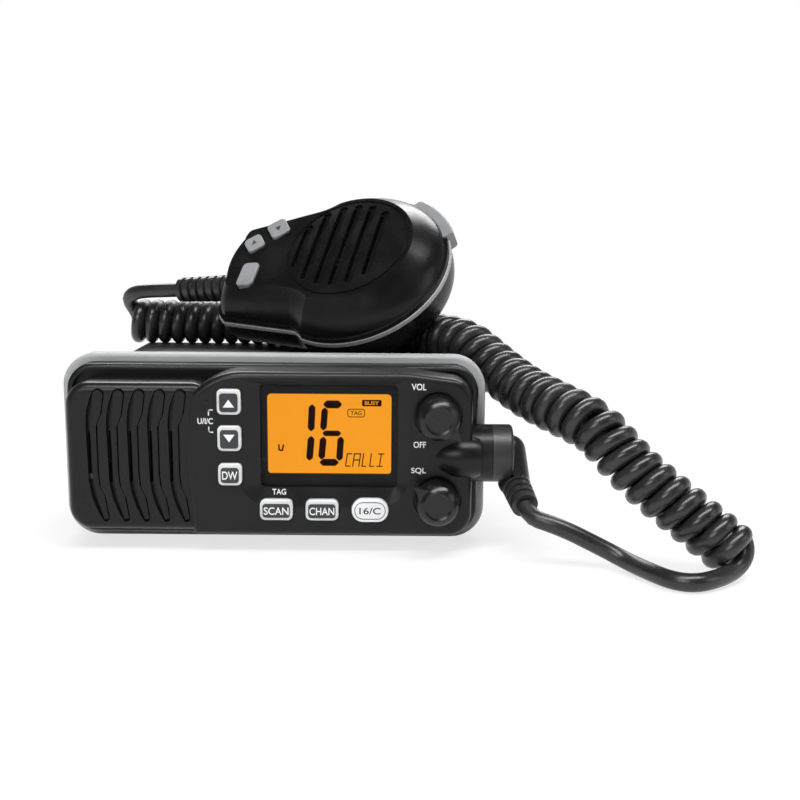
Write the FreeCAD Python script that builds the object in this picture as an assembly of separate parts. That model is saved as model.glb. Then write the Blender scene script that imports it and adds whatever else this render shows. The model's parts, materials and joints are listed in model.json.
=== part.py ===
"""Fixed-mount VHF marine radio with its curly-cord hand microphone, as separate sub-parts in millimetres.

X runs to the right of someone facing the radio, Y runs back from the flange's front face, Z runs up from
the plane the radio stands on. The microphone lies on top of the chassis, against its own coiled cord.
"""
import FreeCAD, Part
import math
import os

from FreeCAD import Placement, Rotation, Vector

# ---------------------------------------------------------------- driving dimensions, mm and degrees
# flange and front panel
panel_w = 141.0
panel_h = 62.3
panel_corner_r = 11.0
flange_t = 4.0
trim_band = 2.6
trim_lip = 1.6
base_step = 7.0
groove_depth = 3.0
face_depth = 20.0
face_wall = 4.0
face_edge_r = 2.2
plate_inset = 5.2
plate_bottom = 5.7
plate_top = 59.1
plate_top_right = 57.2
plate_corner_r = 7.5
speaker_inset = 5.3
speaker_w = 38.4
speaker_bottom = 6.8
speaker_top = 55.2
speaker_drop = 0.7
speaker_edge_r = 3.0
cavity_wall = 3.2
key_bay_low = 9.6
key_bay_high = 55.5

# louvres over the loudspeaker
louvre_count = 5
louvre_pitch = 6.55
louvre_inset = 6.8
louvre_low = 9.8
louvre_high = 53.4
louvre_width = 6.2
louvre_waist = 3.75
louvre_deep = 1.9
louvre_shallow = 0.45
louvre_groove_left = 1.25
louvre_groove_right = 0.6
slit_w = 0.7

# display
window_to_keys = 9.6
window_to_knobs = 12.9
window_low = 21.5
window_high = 55.1
window_t = 1.5
window_drop = 1.4
tub_side = 7.4
tub_right = 4.2
tub_low = 6.2
tub_high = 1.4
tub_corner_r = 11.0
lcd_inset_left = 2.7
lcd_inset_right = 2.1
lcd_low = 26.6
lcd_high = 52.4
lcd_border = 1.6
lcd_t = 3.0
backlight_t = 2.0

# keys: the upright column is placed from the speaker, the row under the window by shares of its width
key_column_inset = 14.5
key_column_w = 7.6
key_row_z = 14.5
key_proud = 1.3
key_gap = 0.3
key_flange = 0.9
key_flange_t = 1.0
key_travel = 0.8
key_edge_r = 0.5
membrane_t = 1.0

# knobs and their potentiometers
knob_inset = 16.3
volume_z = 45.5
squelch_z = 18.1
knob_top_r = 6.2
knob_skirt_r = 7.1
knob_face_r = 4.4
knob_reach = 10.0
knob_float = 0.4
knob_dish = 0.5
dish_r = 7.8
dish_depth = 1.8
pointer_r = 9.4
pointer_back = 3.6
volume_pointer = -42.0
squelch_pointer = 141.0
shaft_r = 3.0
shaft_gap = 0.05
bush_r = 3.6
pot_r = 6.0
pot_t = 5.0

# boards
board_t = 1.6
front_board_y = -6.0
main_board_z = 30.3
main_board_inset = 14.0
front_board_edge = 6.8

# loudspeaker
speaker_z = 31.8
speaker_r = 17.5
speaker_rim_t = 1.6
cone_t = 0.6
magnet_r = 8.5
magnet_t = 7.0

# microphone socket boss and plug
boss_r = 9.5
boss_y = -9.5
boss_z = 31.3
boss_proud = 1.5
nose_len = 22.4
nose_r = 6.1
nose_y = -15.8
socket_r = 7.0
socket_depth = 17.0
collar_len = 6.9
collar_gap = 0.15
insert_r = 5.6
plug_boot_r = 5.3
plug_rib_r = 4.9
plug_boot_len = 13.6
rib_pitch = 2.9

# chassis
chassis_inset = 7.5
chassis_top = 55.3
chassis_front = 5.0
chassis_back = 88.0
chassis_wall = 3.0
chassis_edge = 3.0
fin_reach = 5.0
fin_t = 1.8
fin_count = 12
fin_first_x = -16.0
fin_inset = 8.6
cover_low = 1.5
cover_t = 2.0
cover_seal_t = 0.7
tab_t = 2.5
tab_r = 3.6
foot_w = 3.0
foot_shares = (-0.365, -0.127, 0.127, 0.365)
panel_seal_t = 1.0
boss_column_r = 3.6
screw_r = 1.45
screw_head_r = 2.7
screw_clear = 0.05
bracket_hole_r = 2.1
bracket_hole_len = 8.0
bracket_boss_r = 5.5
bracket_y = 45.0
bracket_z = 20.8
cover_screw_inset = 6.0
cover_screw_front = 10.0
cover_screw_back = 9.0
board_screw_inset = 9.0
board_screw_front = 13.0
board_screw_back = 16.0
panel_post_r = 3.0
panel_screw_depth = 9.0
screw_head_t = 1.8
module_left = -14.0
module_to_screw = 6.0
module_depth = 13.0
module_pad_inset = 2.0
can_left = -30.0
can_right = 12.0
can_front = 22.0
can_back = 52.0
can_h = 9.0
can_wall = 0.4

# rear connections
antenna_inset = 21.0
antenna_z = 40.3
antenna_thread_r = 7.9
antenna_len = 12.0
antenna_flange = 25.4
antenna_flange_t = 1.6
gland_z = 15.8
power_gland_inset = 13.0
gland_spacing = 18.0
gland_r = 4.6
gland_lip_r = 6.2
gland_reach = 9.0
lead_hole_r = 2.6

# microphone, in its own frame: +x towards the head, +z out of the grille, origin under the grille
mic_x = 24.9
mic_y = 40.0
mic_z = 87.8
mic_swing = -21.7
mic_rise = 3.6
mic_tilt = 44.0
head_x = 1.5
head_r = 34.5
neck_x = -16.0
neck_half = 28.4
tail_steep = 0.6
tail_half = 23.6
tail_far_in = 1.8
tail_end = -50.6
mic_front = 12.2
mic_back = 15.0
seal_t = 1.6
seal_proud = 0.5
mic_wall = 2.4
mic_rim_t = 1.7
grille_x = 1.7
grille_r = 23.0
grille_dome = 1.0
grille_t = 2.2
grille_groove = 0.9
slot_w = 3.2
slot_pitch = 5.8
slot_count = 6
slot_first_x = -16.6
slot_field_r = 20.0
slot_field_x = 0.2
slot_field_y = 1.2
slot_depth = 0.8
slot_slit = 0.9
slot_edge = 0.6
slot_edge_depth = 1.7
keypad_low = 9.4
keypad_start = -22.5
# microphone keys: centre x, centre y, length, width, turn
mic_key_sizes = {
    "mic_key_up": (-29.6, 11.3, 7.6, 8.4, 36.6),
    "mic_key_down": (-38.0, 5.0, 7.0, 7.4, 36.6),
    "mic_key_power": (-35.2, -11.0, 6.6, 11.0, 0.0),
}
mic_key_proud = 1.1
mic_key_travel = 0.7
mic_key_gap = 0.3
ptt_from = 23.0
ptt_to = 63.0
ptt_proud = 2.8
ptt_depth = 7.8
ptt_reach = head_r + ptt_proud
ptt_inner = ptt_reach - ptt_depth
ptt_low = -5.0
ptt_high = 2.2
ptt_travel = 1.5
ptt_gap = 0.35
ptt_ribs = 7
mic_boot_r = 5.3
mic_boot_end_r = 4.7
mic_boot_len = 26.8
mic_boot_z = -7.2
mic_board_z = 2.0
mic_board_t = 1.2
mic_board_inset = 5.4
mic_board_tail_gap = 6.0
switch_len = 7.0
switch_w = 9.0
switch_t = 4.0
plunger_r = 1.2
plunger_len = 4.5
hanger_r = 6.0
hanger_neck_r = 3.6
hanger_reach = 4.4
hanger_head_t = 1.8

# cord
cord_r = 2.8
coil_r = 8.3
contact = 0.05
route_boss_end = 72.0  # the socket boss ends here where these routes and the microphone are placed
MIC_LEAD = [
    (-44.76, 73.12, 77.76), (-51.5, 75.8, 77.3), (-59.8, 79.0, 76.8), (-66.0, 81.0, 75.6), (-68.9, 85.0, 72.8),
    (-67.0, 88.6, 69.0), (-61.0, 88.6, 69.0),
]
COIL = [
    (-61.0, 86.0, 64.0), (-26.0, 86.0, 64.0), (6.0, 77.0, 64.0), (33.0, 57.5, 64.0), (52.0, 39.5, 64.1),
    (65.0, 26.0, 63.7), (72.3, 17.5, 58.2), (77.8, 11.0, 54.0), (84.9, 0.2, 49.7), (92.5, -10.5, 47.1),
    (99.6, -17.8, 44.6), (104.8, -21.9, 42.0), (108.9, -24.8, 37.3), (115.3, -28.8, 30.5),
    (122.8, -32.6, 24.3), (131.5, -36.3, 17.9), (137.9, -38.7, 12.7), (143.5, -40.5, 8.7),
]
PLUG_LEAD = [
    (82.1, -24.0, 17.3), (83.5, -31.0, 14.5), (92.0, -32.8, 11.8), (98.6, -33.0, 8.8), (104.7, -34.0, 5.8),
    (110.9, -37.0, 3.3), (115.1, -44.3, 2.9), (119.3, -52.0, 2.9), (125.0, -57.0, 2.9), (131.4, -58.6, 2.9),
    (138.4, -57.6, 2.9), (145.0, -54.9, 2.9), (150.4, -50.6, 2.9), (151.4, -45.2, 3.5), (147.6, -41.8, 5.8),
    (143.53, -40.51, 8.68),
]

# ---------------------------------------------------------------- values worked out from the sizes above
face_y = -face_depth
cavity_y = face_y + face_wall
panel_mid_z = panel_h / 2
speaker_face_y = face_y + speaker_drop
chassis_w = panel_w - 2 * chassis_inset
speaker_left = -panel_w / 2 + speaker_inset
speaker_x = speaker_left + 0.5625 * speaker_w
louvre_first_x = speaker_left + louvre_inset
plate_left = speaker_left + speaker_w
plate_right = panel_w / 2 - plate_inset
key_column_x = plate_left + key_column_inset
knob_x = panel_w / 2 - knob_inset
window_left = key_column_x + window_to_keys
window_right = knob_x - window_to_knobs
window_w = window_right - window_left
lcd_left = window_left + lcd_inset_left
lcd_right = window_right - lcd_inset_right
key_bay_left = key_column_x - 7.7
key_bay_right = window_right + 1.7
boss_end = panel_w / 2 + boss_proud
nose_tip = boss_end - nose_len
plug_boot_top = Vector(boss_end + 6.3, -8.3, boss_z + 0.5)
cord_shift = Vector(boss_end - route_boss_end, 0, 0)
mic_place = Vector(mic_x, mic_y, mic_z) + cord_shift
antenna_x = -chassis_w / 2 + antenna_inset
power_gland_x = -chassis_w / 2 + power_gland_inset
accessory_gland_x = power_gland_x + gland_spacing
fin_pitch = (chassis_w / 2 - fin_inset - fin_first_x) / (fin_count - 1)
main_board_w = chassis_w - 2 * main_board_inset
chassis_low = cover_low + cover_t + cover_seal_t
knob_back_y = face_y + dish_depth - knob_float
# keys: centre x, centre z, width, height, corner radius
key_sizes = {
    "key_up": (key_column_x, 49.7, key_column_w, 8.2, 1.6),
    "key_down": (key_column_x, 37.9, key_column_w, 8.2, 1.6),
    "key_watch": (key_column_x, 26.1, key_column_w, 7.2, 1.6),
    "key_scan": (window_left + 0.116 * window_w, key_row_z, 0.241 * window_w, 6.8, 1.8),
    "key_channel": (window_left + 0.45 * window_w, key_row_z, 0.241 * window_w, 6.8, 1.8),
    "key_priority": (window_left + 0.802 * window_w, key_row_z, 0.27 * window_w, 7.6, 3.7),
}
cover_screw_x = chassis_w / 2 - cover_screw_inset
board_screw_x = main_board_w / 2 - board_screw_inset
screw_spots = [(x, y) for x in (-cover_screw_x, cover_screw_x)
               for y in (chassis_front + cover_screw_front, bracket_y, chassis_back - cover_screw_back)]
board_spots = [(x, y) for x in (-board_screw_x, board_screw_x)
               for y in (chassis_front + board_screw_front, chassis_back - board_screw_back)]
module_right = board_screw_x - module_to_screw
panel_spots = [(x, z) for x in (-chassis_w / 2 + 5.8, knob_x - 9.4) for z in (15.3, 48.3)]


# ---------------------------------------------------------------- shape helpers
def outline(corners, y):
    """Closed wire in the plane Y = y through corners (x, z, radius), each rounded by its own radius."""
    points = [Vector(x, y, z) for x, z, r in corners]
    bends = []
    for i, (x, z, r) in enumerate(corners):
        here = points[i]
        back = (points[i - 1] - here).normalize()
        ahead = (points[(i + 1) % len(points)] - here).normalize()
        half_turn = (math.pi - back.getAngle(ahead)) / 2
        reach = r * math.tan(half_turn)
        middle = here + (back + ahead).normalize() * (r / math.cos(half_turn) - r)
        bends.append((here + back * reach, middle, here + ahead * reach, r))
    edges = []
    for i, (enter, middle, leave, r) in enumerate(bends):
        if r > 0:
            edges.append(Part.Arc(enter, middle, leave).toShape())
        following = bends[(i + 1) % len(bends)][0]
        if (following - leave).Length > 0.001:
            edges.append(Part.LineSegment(leave, following).toShape())
    return Part.Wire(edges)


def rounded_rect(x0, x1, z0, z1, radii, y):
    """Closed wire in the plane Y = y; radii run low left, low right, high right, high left."""
    return outline([(x0, z0, radii[0]), (x1, z0, radii[1]), (x1, z1, radii[2]), (x0, z1, radii[3])], y)


def rounded_block(x0, x1, z0, z1, r, y_back, y_front):
    """Prism with rounded corners that runs from y_back to y_front."""
    wire = rounded_rect(x0, x1, z0, z1, (r, r, r, r), y_back)
    return Part.Face(wire).extrude(Vector(0, y_front - y_back, 0))


def panel_block(inset, y_back, y_front):
    """Prism of the panel's outline, moved in by inset."""
    half = panel_w / 2 - inset
    return rounded_block(-half, half, inset, panel_h - inset, panel_corner_r - inset * 0.8, y_back, y_front)


def box(x0, x1, y0, y1, z0, z1):
    return Part.makeBox(x1 - x0, y1 - y0, z1 - z0, Vector(x0, y0, z0))


def rod(start, end, r):
    axis = Vector(*end) - Vector(*start)
    return Part.makeCylinder(r, axis.Length, Vector(*start), axis)


def rod_y(x, z, r, y0, y1):
    return rod((x, y0, z), (x, y1, z), r)


def front_edges(solid, y, tolerance=0.01):
    """Edges of solid that lie in the plane Y = y."""
    return [e for e in solid.Edges if max(abs(e.BoundBox.YMin - y), abs(e.BoundBox.YMax - y)) < tolerance]


def level_edges(solid, z, tolerance=0.01):
    """Edges of solid that lie in the plane Z = z."""
    return [e for e in solid.Edges if max(abs(e.BoundBox.ZMin - z), abs(e.BoundBox.ZMax - z)) < tolerance]


def revolve_y(x, z, profile):
    """Solid turned about the Y axis line at (x, z); profile is a list of (radius, y)."""
    points = [Vector(x + r, y, z) for r, y in profile]
    wire = Part.makePolygon(points + points[:1])
    return Part.Face(wire).revolve(Vector(x, 0, z), Vector(0, 1, 0), 360)


def revolve_axis(start, direction, profile):
    """Solid turned about a line; profile is a list of (distance along the line, radius)."""
    points = [Vector(r, 0, s) for s, r in profile]
    wire = Part.makePolygon(points + points[:1])
    solid = Part.Face(wire).revolve(Vector(0, 0, 0), Vector(0, 0, 1), 360)
    solid.Placement = Placement(Vector(*start), Rotation(Vector(0, 0, 1), Vector(*direction)))
    return solid


def fuse(shapes):
    whole = shapes[0]
    for shape in shapes[1:]:
        whole = whole.fuse(shape)
    return whole.removeSplitter()


def cut(solid, tools):
    return solid.cut(Part.makeCompound(tools))


# ---------------------------------------------------------------- front panel
def plate_outline(y):
    """Outline of the raised face: a swept-up left shoulder and a top edge that falls away at the right."""
    fall_x = plate_right - 21.0
    fall_z = plate_top_right - (plate_top - plate_top_right) * 0.4
    return outline([
        (plate_left + 2.2, plate_bottom, 1.0), (plate_right, plate_bottom, plate_corner_r),
        (plate_right, fall_z, plate_corner_r), (fall_x, plate_top, 20.0),
        (plate_left + 11.0, plate_top, 22.0), (plate_left + 2.2, speaker_top - 3.0, 1.0),
        (plate_left, panel_mid_z - 2.0, 60.0),
    ], y)


def raised_face():
    root_y = -base_step + groove_depth
    plate = Part.Face(plate_outline(root_y)).extrude(Vector(0, face_y - root_y, 0))
    plate = plate.makeFillet(face_edge_r, front_edges(plate, face_y))
    speaker_right = plate_left + 9.0
    block = rounded_block(speaker_left, speaker_right, speaker_bottom, speaker_top, plate_corner_r, root_y,
                          speaker_face_y)
    block = block.makeFillet(speaker_edge_r, front_edges(block, speaker_face_y))
    return plate, block


def louvre_outline(x, left, rim, y):
    """Edge of a louvre pocket: bowed at the left, kinked at the right, drawn in by left and by rim."""
    low, high, w, waist = louvre_low + rim, louvre_high - rim, louvre_width - rim, louvre_waist - rim

    def at(px, pz):
        return Vector(x + px, y, pz)

    right = [at(w, high - 2.0), at(w - 0.9, high - 8.0), at(waist, high - 11.6), at(waist, low + 15.6),
             at(waist + 0.4, low + 11.4), at(w - 0.5, low + 7.8), at(w + 0.5, low + 1.2)]
    foot, knee = at(w - 1.4 + left / 2, low), at(left + 0.3, low + 16.6)
    brow, crown = at(left, high - 12.0), at(w - 3.8 + left / 2, high - 1.2)
    edges = [Part.LineSegment(a, b) for a, b in zip(right, right[1:])]
    edges += [Part.Arc(right[-1], at(w - 0.2, low + 0.1), foot),
              Part.Arc(foot, at(left + 1.5, low + 7.4), knee), Part.LineSegment(knee, brow),
              Part.Arc(brow, at(left + 0.9, high - 5.2), crown), Part.Arc(crown, at(w - 1.3, high), right[0])]
    return Part.Face(Part.Wire([e.toShape() for e in edges]))


def louvre(x):
    """Shallow pocket with a deep groove round it, broad at the left and narrow at the right."""
    front = speaker_face_y - 1.0
    whole = louvre_outline(x, 0, 0, front)
    floor = louvre_outline(x, louvre_groove_left, louvre_groove_right, front)
    groove = whole.cut(floor).extrude(Vector(0, louvre_deep + 1.0, 0))
    return groove.fuse(whole.extrude(Vector(0, louvre_shallow + 1.0, 0)))


def window_tub():
    """Recess that ramps down from the face to the display window."""
    outer = rounded_rect(window_left - tub_side, window_right + tub_right, window_low - tub_low,
                         window_high + tub_high, (tub_corner_r, tub_corner_r, 2.5, 2.5), face_y - 0.01)
    inner = rounded_rect(window_left, window_right, window_low, window_high, (1.5, 1.5, 1.5, 1.5),
                         face_y + window_drop)
    tub = Part.makeLoft([outer, inner], True, True)
    seat_back = face_y + window_drop + window_t + 0.1
    seat = rounded_block(window_left, window_right, window_low, window_high, 1.5, seat_back,
                         face_y + window_drop)
    view = rounded_block(lcd_left - 1.0, lcd_right + 1.0, lcd_low - 1.0, lcd_high + 1.0, 1.0, cavity_y + 1.0,
                         seat_back - 0.1)
    return [tub, seat, view]


def key_outline(name, grow, y_back, y_front):
    x, z, w, h, r = key_sizes[name]
    return rounded_block(x - w / 2 - grow, x + w / 2 + grow, z - h / 2 - grow, z + h / 2 + grow, r + grow,
                         y_back, y_front)


def connector_nose():
    """Half-round nose that swells out of the face towards the microphone socket."""
    tip, mid, end = (Vector(x, nose_y, boss_z + r) for x, r in (
        (nose_tip, 0), (nose_tip + 3.6, nose_r * 0.66), (boss_end - 4.0, nose_r)))
    foot = Vector(boss_end - 4.0, nose_y, boss_z)
    edges = [Part.Arc(tip, mid, end), Part.LineSegment(end, foot), Part.LineSegment(foot, tip)]
    wire = Part.Wire([e.toShape() for e in edges])
    return Part.Face(wire).revolve(Vector(0, nose_y, boss_z), Vector(1, 0, 0), 360)


def socket_boss(r, x0, x1):
    return rod((x0, boss_y, boss_z), (x1, boss_y, boss_z), r)


def outer_boss(r):
    return socket_boss(r, boss_end - 12.0, boss_end)


def front_panel():
    base = panel_block(trim_band + 0.1, flange_t, -base_step)
    base = base.makeFillet(1.4, front_edges(base, -base_step))
    plate, block = raised_face()
    moat = panel_block(trim_band + 1.9, -base_step - 1, -base_step + groove_depth)
    body = fuse([base.cut(moat), plate, block, connector_nose(), outer_boss(boss_r)])
    half = panel_w / 2 - speaker_inset - cavity_wall
    cavity = rounded_block(-half, half, plate_bottom + cavity_wall, speaker_top - cavity_wall, 4.0,
                           flange_t + 1, cavity_y)
    key_bay = box(key_bay_left, key_bay_right, cavity_y, flange_t + 1, key_bay_low, key_bay_high)
    tools = [cavity, key_bay, socket_boss(socket_r, boss_end - socket_depth, boss_end + 1)]
    tools += window_tub()
    tools += [louvre(louvre_first_x + i * louvre_pitch) for i in range(louvre_count)]
    for i in range(louvre_count):
        x = louvre_first_x + i * louvre_pitch + 0.35
        tools.append(box(x, x + slit_w, face_y - 1, cavity_y + 1, louvre_low + 13, louvre_high - 14))
    tools += [key_outline(name, key_gap, cavity_y + 1, face_y - 2) for name in key_sizes]
    for z in (volume_z, squelch_z):
        tools.append(rod_y(knob_x, z, dish_r, face_y - 0.01, face_y + dish_depth))
        tools.append(rod_y(knob_x, z, bush_r + 0.1, face_y, cavity_y + 1))
    body = cut(body, tools)
    posts = [rod_y(x, z, panel_post_r, flange_t, cavity_y) for x, z in panel_spots]
    holes = [rod_y(x, z, screw_r + screw_clear, flange_t + 1, flange_t - panel_screw_depth)
             for x, z in panel_spots]
    return cut(fuse([body] + posts), holes)


def trim_ring():
    ring = panel_block(0, flange_t, -trim_lip)
    ring = ring.makeFillet(1.0, front_edges(ring, -trim_lip))
    return cut(ring, [panel_block(trim_band, flange_t + 1, -trim_lip - 1), outer_boss(boss_r + 0.15)])


def window():
    front = face_y + window_drop + 0.05
    gap = 0.1
    return rounded_block(window_left + gap, window_right - gap, window_low + gap, window_high - gap, 1.4,
                         front + window_t, front)


def display():
    """Display glass and the light panel behind it, seated against the inside of the face."""
    b = lcd_border
    glow_y = cavity_y + lcd_t
    glass = rounded_block(lcd_left - b, lcd_right + b, lcd_low - b, lcd_high - 0.8, 0.8, glow_y, cavity_y)
    glow = rounded_block(lcd_left, lcd_right, lcd_low, lcd_high - 1.4, 0.8, glow_y + backlight_t, glow_y)
    return glass, glow


def key(name):
    """Key cap, its retaining flange behind the face, and its stem down to the membrane."""
    x, z = key_sizes[name][:2]
    flange_y = cavity_y + 0.1
    cap = key_outline(name, 0, flange_y, face_y - key_proud)
    cap = cap.makeFillet(key_edge_r, front_edges(cap, face_y - key_proud))
    flange = key_outline(name, key_flange, flange_y + key_flange_t, flange_y)
    stem = rod_y(x, z, 1.6, flange_y + key_flange_t, membrane_y() - key_travel - 0.1)
    return fuse([cap, flange, stem])


def membrane_y():
    """Front face of the key membrane, which lies on the front board."""
    return front_board_y - membrane_t


def key_membrane():
    """Two strips of rubber contact sheet on the front board, one under each bank of keys."""
    left = key_column_x - 5.7
    low = key_sizes["key_watch"][1] - 5.8
    high = key_sizes["key_up"][1] + 2.0
    column = rounded_block(left, key_column_x + 5.3, low, high, 1.5, front_board_y, membrane_y())
    row = rounded_block(left, window_right - 0.3, key_row_z - 3.0, key_row_z + 4.3, 1.5, front_board_y,
                        membrane_y())
    return fuse([column, row])


def front_board():
    back = front_board_y + board_t
    board = rounded_block(key_column_x - 9.7, knob_x + front_board_edge, plate_bottom + 3.6,
                          speaker_top - 3.6, 4.0, back, front_board_y)
    holes = [rod_y(x, z, panel_post_r + 0.4, front_board_y - 1, back + 1) for x, z in panel_spots if x > 0]
    return cut(board, holes + [socket_boss(socket_r + 0.5, boss_end - socket_depth - 3.0, boss_end)])


def pot(z):
    """Potentiometer body and threaded bush, with a bore for its shaft."""
    body = rod_y(knob_x, z, pot_r, front_board_y, front_board_y - pot_t)
    bush = rod_y(knob_x, z, bush_r, front_board_y - pot_t, face_y + dish_depth + 0.2)
    return fuse([body, bush]).cut(rod_y(knob_x, z, shaft_r + shaft_gap, front_board_y - 1, face_y))


def knob(z, pointer):
    """Round knob with a dished cap, a bright chamfer and one raised pointer petal."""
    back = knob_back_y
    front = face_y - knob_reach
    body = revolve_y(knob_x, z, [
        (0, back), (knob_skirt_r, back), (knob_skirt_r, face_y - 1.5), (knob_top_r + 0.25, front + 1.4),
        (knob_top_r - 0.55, front + 0.15), (knob_face_r, front), (0, front)])
    petal = petal_pointer(front)
    petal.rotate(Vector(0, 0, 0), Vector(0, -1, 0), pointer)
    petal.translate(Vector(knob_x, 0, z))
    ball_r = (knob_face_r ** 2 + knob_dish ** 2) / (2 * knob_dish)
    dish = Part.makeSphere(ball_r, Vector(knob_x, front + knob_dish - ball_r, z))
    bore = rod_y(knob_x, z, shaft_r + 0.01, back + 1, front + 2.6)
    return cut(fuse([body, petal]), [dish, bore])


def petal_pointer(front):
    """Pointed leaf along +X from the knob's side, cut from the knob's front plane backwards."""
    reach, half = pointer_r, 3.9
    tip = Vector(reach, front + 0.5, 0)
    root = knob_top_r - 2.6
    upper = Vector(root, front + 0.5, half)
    lower = Vector(root, front + 0.5, -half)
    mid_up = Vector(root + (reach - root) * 0.55, front + 0.5, half * 0.62)
    mid_low = Vector(mid_up.x, mid_up.y, -mid_up.z)
    edges = [Part.Arc(upper, mid_up, tip), Part.Arc(tip, mid_low, lower), Part.LineSegment(lower, upper)]
    leaf = Part.Face(Part.Wire([e.toShape() for e in edges])).extrude(Vector(0, pointer_back, 0))
    rim = [e for e in front_edges(leaf, front + 0.5) if e.Curve.TypeId == "Part::GeomCircle"]
    leaf = leaf.makeFillet(0.4, rim)
    signs = ((-1, -1), (1, -1), (1, 1), (-1, 1))
    eye = [Vector(reach - 2.9 + sx * 1.2, front + 0.4, sz * 0.55) for sx, sz in signs]
    slot = Part.Face(Part.makePolygon(eye + eye[:1])).extrude(Vector(0, 0.7, 0))
    return leaf.cut(slot)


def knob_shaft(z):
    return rod_y(knob_x, z, shaft_r, front_board_y - 1.05, face_y - knob_reach + 2.6)


def loudspeaker():
    """Basket, cone and magnet behind the louvres."""
    front = cavity_y + 0.1
    rim = rod_y(speaker_x, speaker_z, speaker_r, front, front + speaker_rim_t)
    rim = rim.cut(rod_y(speaker_x, speaker_z, speaker_r - 1.6, front - 1, front + speaker_rim_t + 1))
    depth = 7.0
    magnet_y = front + depth + 1.0
    basket = revolve_y(speaker_x, speaker_z, [
        (speaker_r - 0.4, front + speaker_rim_t), (speaker_r - 1.6, front + speaker_rim_t),
        (magnet_r - 1.4, front + depth), (magnet_r - 1.4, magnet_y), (magnet_r, magnet_y)])
    cone = revolve_y(speaker_x, speaker_z, [
        (speaker_r - 1.8, front + 0.2), (speaker_r - 1.8, front + 0.2 + cone_t), (3.0, front + depth - 1.0),
        (0, front + depth - 1.4), (0, front + depth - 1.4 - cone_t), (3.0, front + depth - 1.0 - cone_t)])
    magnet = rod_y(speaker_x, speaker_z, magnet_r, magnet_y, magnet_y + magnet_t)
    magnet = magnet.makeFillet(0.6, [magnet.Edges[0], magnet.Edges[2]])
    return fuse([rim, basket]), cone, magnet


# ---------------------------------------------------------------- chassis
def chassis():
    half = chassis_w / 2
    back = chassis_back
    shell = box(-half, half, chassis_front, back, chassis_low, chassis_top)
    long_edges = [e for e in shell.Edges
                  if e.BoundBox.YLength > 10 and abs(e.CenterOfMass.z - chassis_top) < 0.1]
    rear_edges = [e for e in shell.Edges if e.BoundBox.YLength < 0.1 and e.CenterOfMass.y > back - 0.1
                  and e.CenterOfMass.z > chassis_low + 1]
    shell = shell.makeFillet(chassis_edge, long_edges + rear_edges)
    w = chassis_wall
    hollow = box(-half + w, half - w, chassis_front - 1, back - w, chassis_low - 1, chassis_top - w)
    shell = shell.cut(hollow)
    fins = [box(x, x + fin_t, back - 0.5, back + fin_reach, chassis_low + 2, chassis_top - 5.5)
            for x in (fin_first_x + i * fin_pitch for i in range(fin_count))]
    roof = chassis_top - w
    columns = [rod((x, y, chassis_low), (x, y, roof + 0.5), boss_column_r) for x, y in screw_spots]
    stubs = [rod((x, y, main_board_z + board_t), (x, y, roof + 0.5), 3.0) for x, y in board_spots]
    bosses = [rod((side * (half - 0.5), bracket_y, bracket_z),
                  (side * (half - w - 7.5), bracket_y, bracket_z), bracket_boss_r) for side in (-1, 1)]
    r = boss_column_r
    ears = [box(-half + w - 0.5, -half + w + 3, y - r, y + r, chassis_low, roof + 0.5)
            for x, y in screw_spots if x < 0]
    ears += [box(half - w - 3, half - w + 0.5, y - r, y + r, chassis_low, roof + 0.5)
             for x, y in screw_spots if x > 0]
    body = fuse([shell] + fins + columns + stubs + bosses + ears + panel_tabs())
    hole = screw_r + screw_clear
    tools = [rod((x, y, chassis_low - 1), (x, y, chassis_low + 12), hole) for x, y in screw_spots]
    tools += [rod((x, y, main_board_z), (x, y, main_board_z + board_t + 6), hole) for x, y in board_spots]
    for side in (-1, 1):
        deep_end = (side * (half - bracket_hole_len), bracket_y, bracket_z)
        tools.append(rod((side * (half + 1), bracket_y, bracket_z), deep_end, bracket_hole_r))
    tools += [rod_y(x, z, screw_r + 0.15, chassis_front - 1, chassis_front + tab_t + 1)
              for x, z in panel_spots]
    tools.append(rod_y(antenna_x, antenna_z, antenna_thread_r + 0.2, back - w - 1, back + 1))
    tools += [rod_y(x, gland_z, gland_r + 0.1, back - w - 1, back + 1)
              for x in (power_gland_x, accessory_gland_x)]
    return cut(body, tools)


def bottom_cover():
    half = chassis_w / 2
    top = cover_low + cover_t
    plate = box(-half, half, chassis_front, chassis_back, cover_low, top)
    corner = [e for e in plate.Edges if e.BoundBox.ZLength > 1 and e.CenterOfMass.y > chassis_back - 1]
    plate = plate.makeFillet(chassis_edge, corner)
    feet = [box(share * chassis_w - foot_w / 2, share * chassis_w + foot_w / 2, chassis_front + 14,
                chassis_back - 3, 0, cover_low) for share in foot_shares]
    body = fuse([plate] + feet)
    tools = []
    for x, y in screw_spots:
        tools.append(Part.makeCone(screw_head_r + 0.1, screw_r + 0.15, 1.4, Vector(x, y, cover_low - 0.05)))
        tools.append(rod((x, y, cover_low), (x, y, top + 1), screw_r + 0.15))
    return cut(body, tools)


def ring_plate(z0, z1, band):
    """Flat frame under the chassis walls, z0 to z1, with screw holes."""
    half = chassis_w / 2
    outer = box(-half, half, chassis_front, chassis_back, z0, z1)
    corner = [e for e in outer.Edges if e.BoundBox.ZLength > 0.1 and e.CenterOfMass.y > chassis_back - 1]
    outer = outer.makeFillet(chassis_edge, corner)
    inner = box(-half + band, half - band, chassis_front + band, chassis_back - band, z0 - 1, z1 + 1)
    pads = [rod((x, y, z0), (x, y, z1), boss_column_r) for x, y in screw_spots]
    frame = fuse([outer.cut(inner)] + pads)
    return cut(frame, [rod((x, y, z0 - 1), (x, y, z1 + 1), screw_r + 0.15) for x, y in screw_spots])


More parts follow.
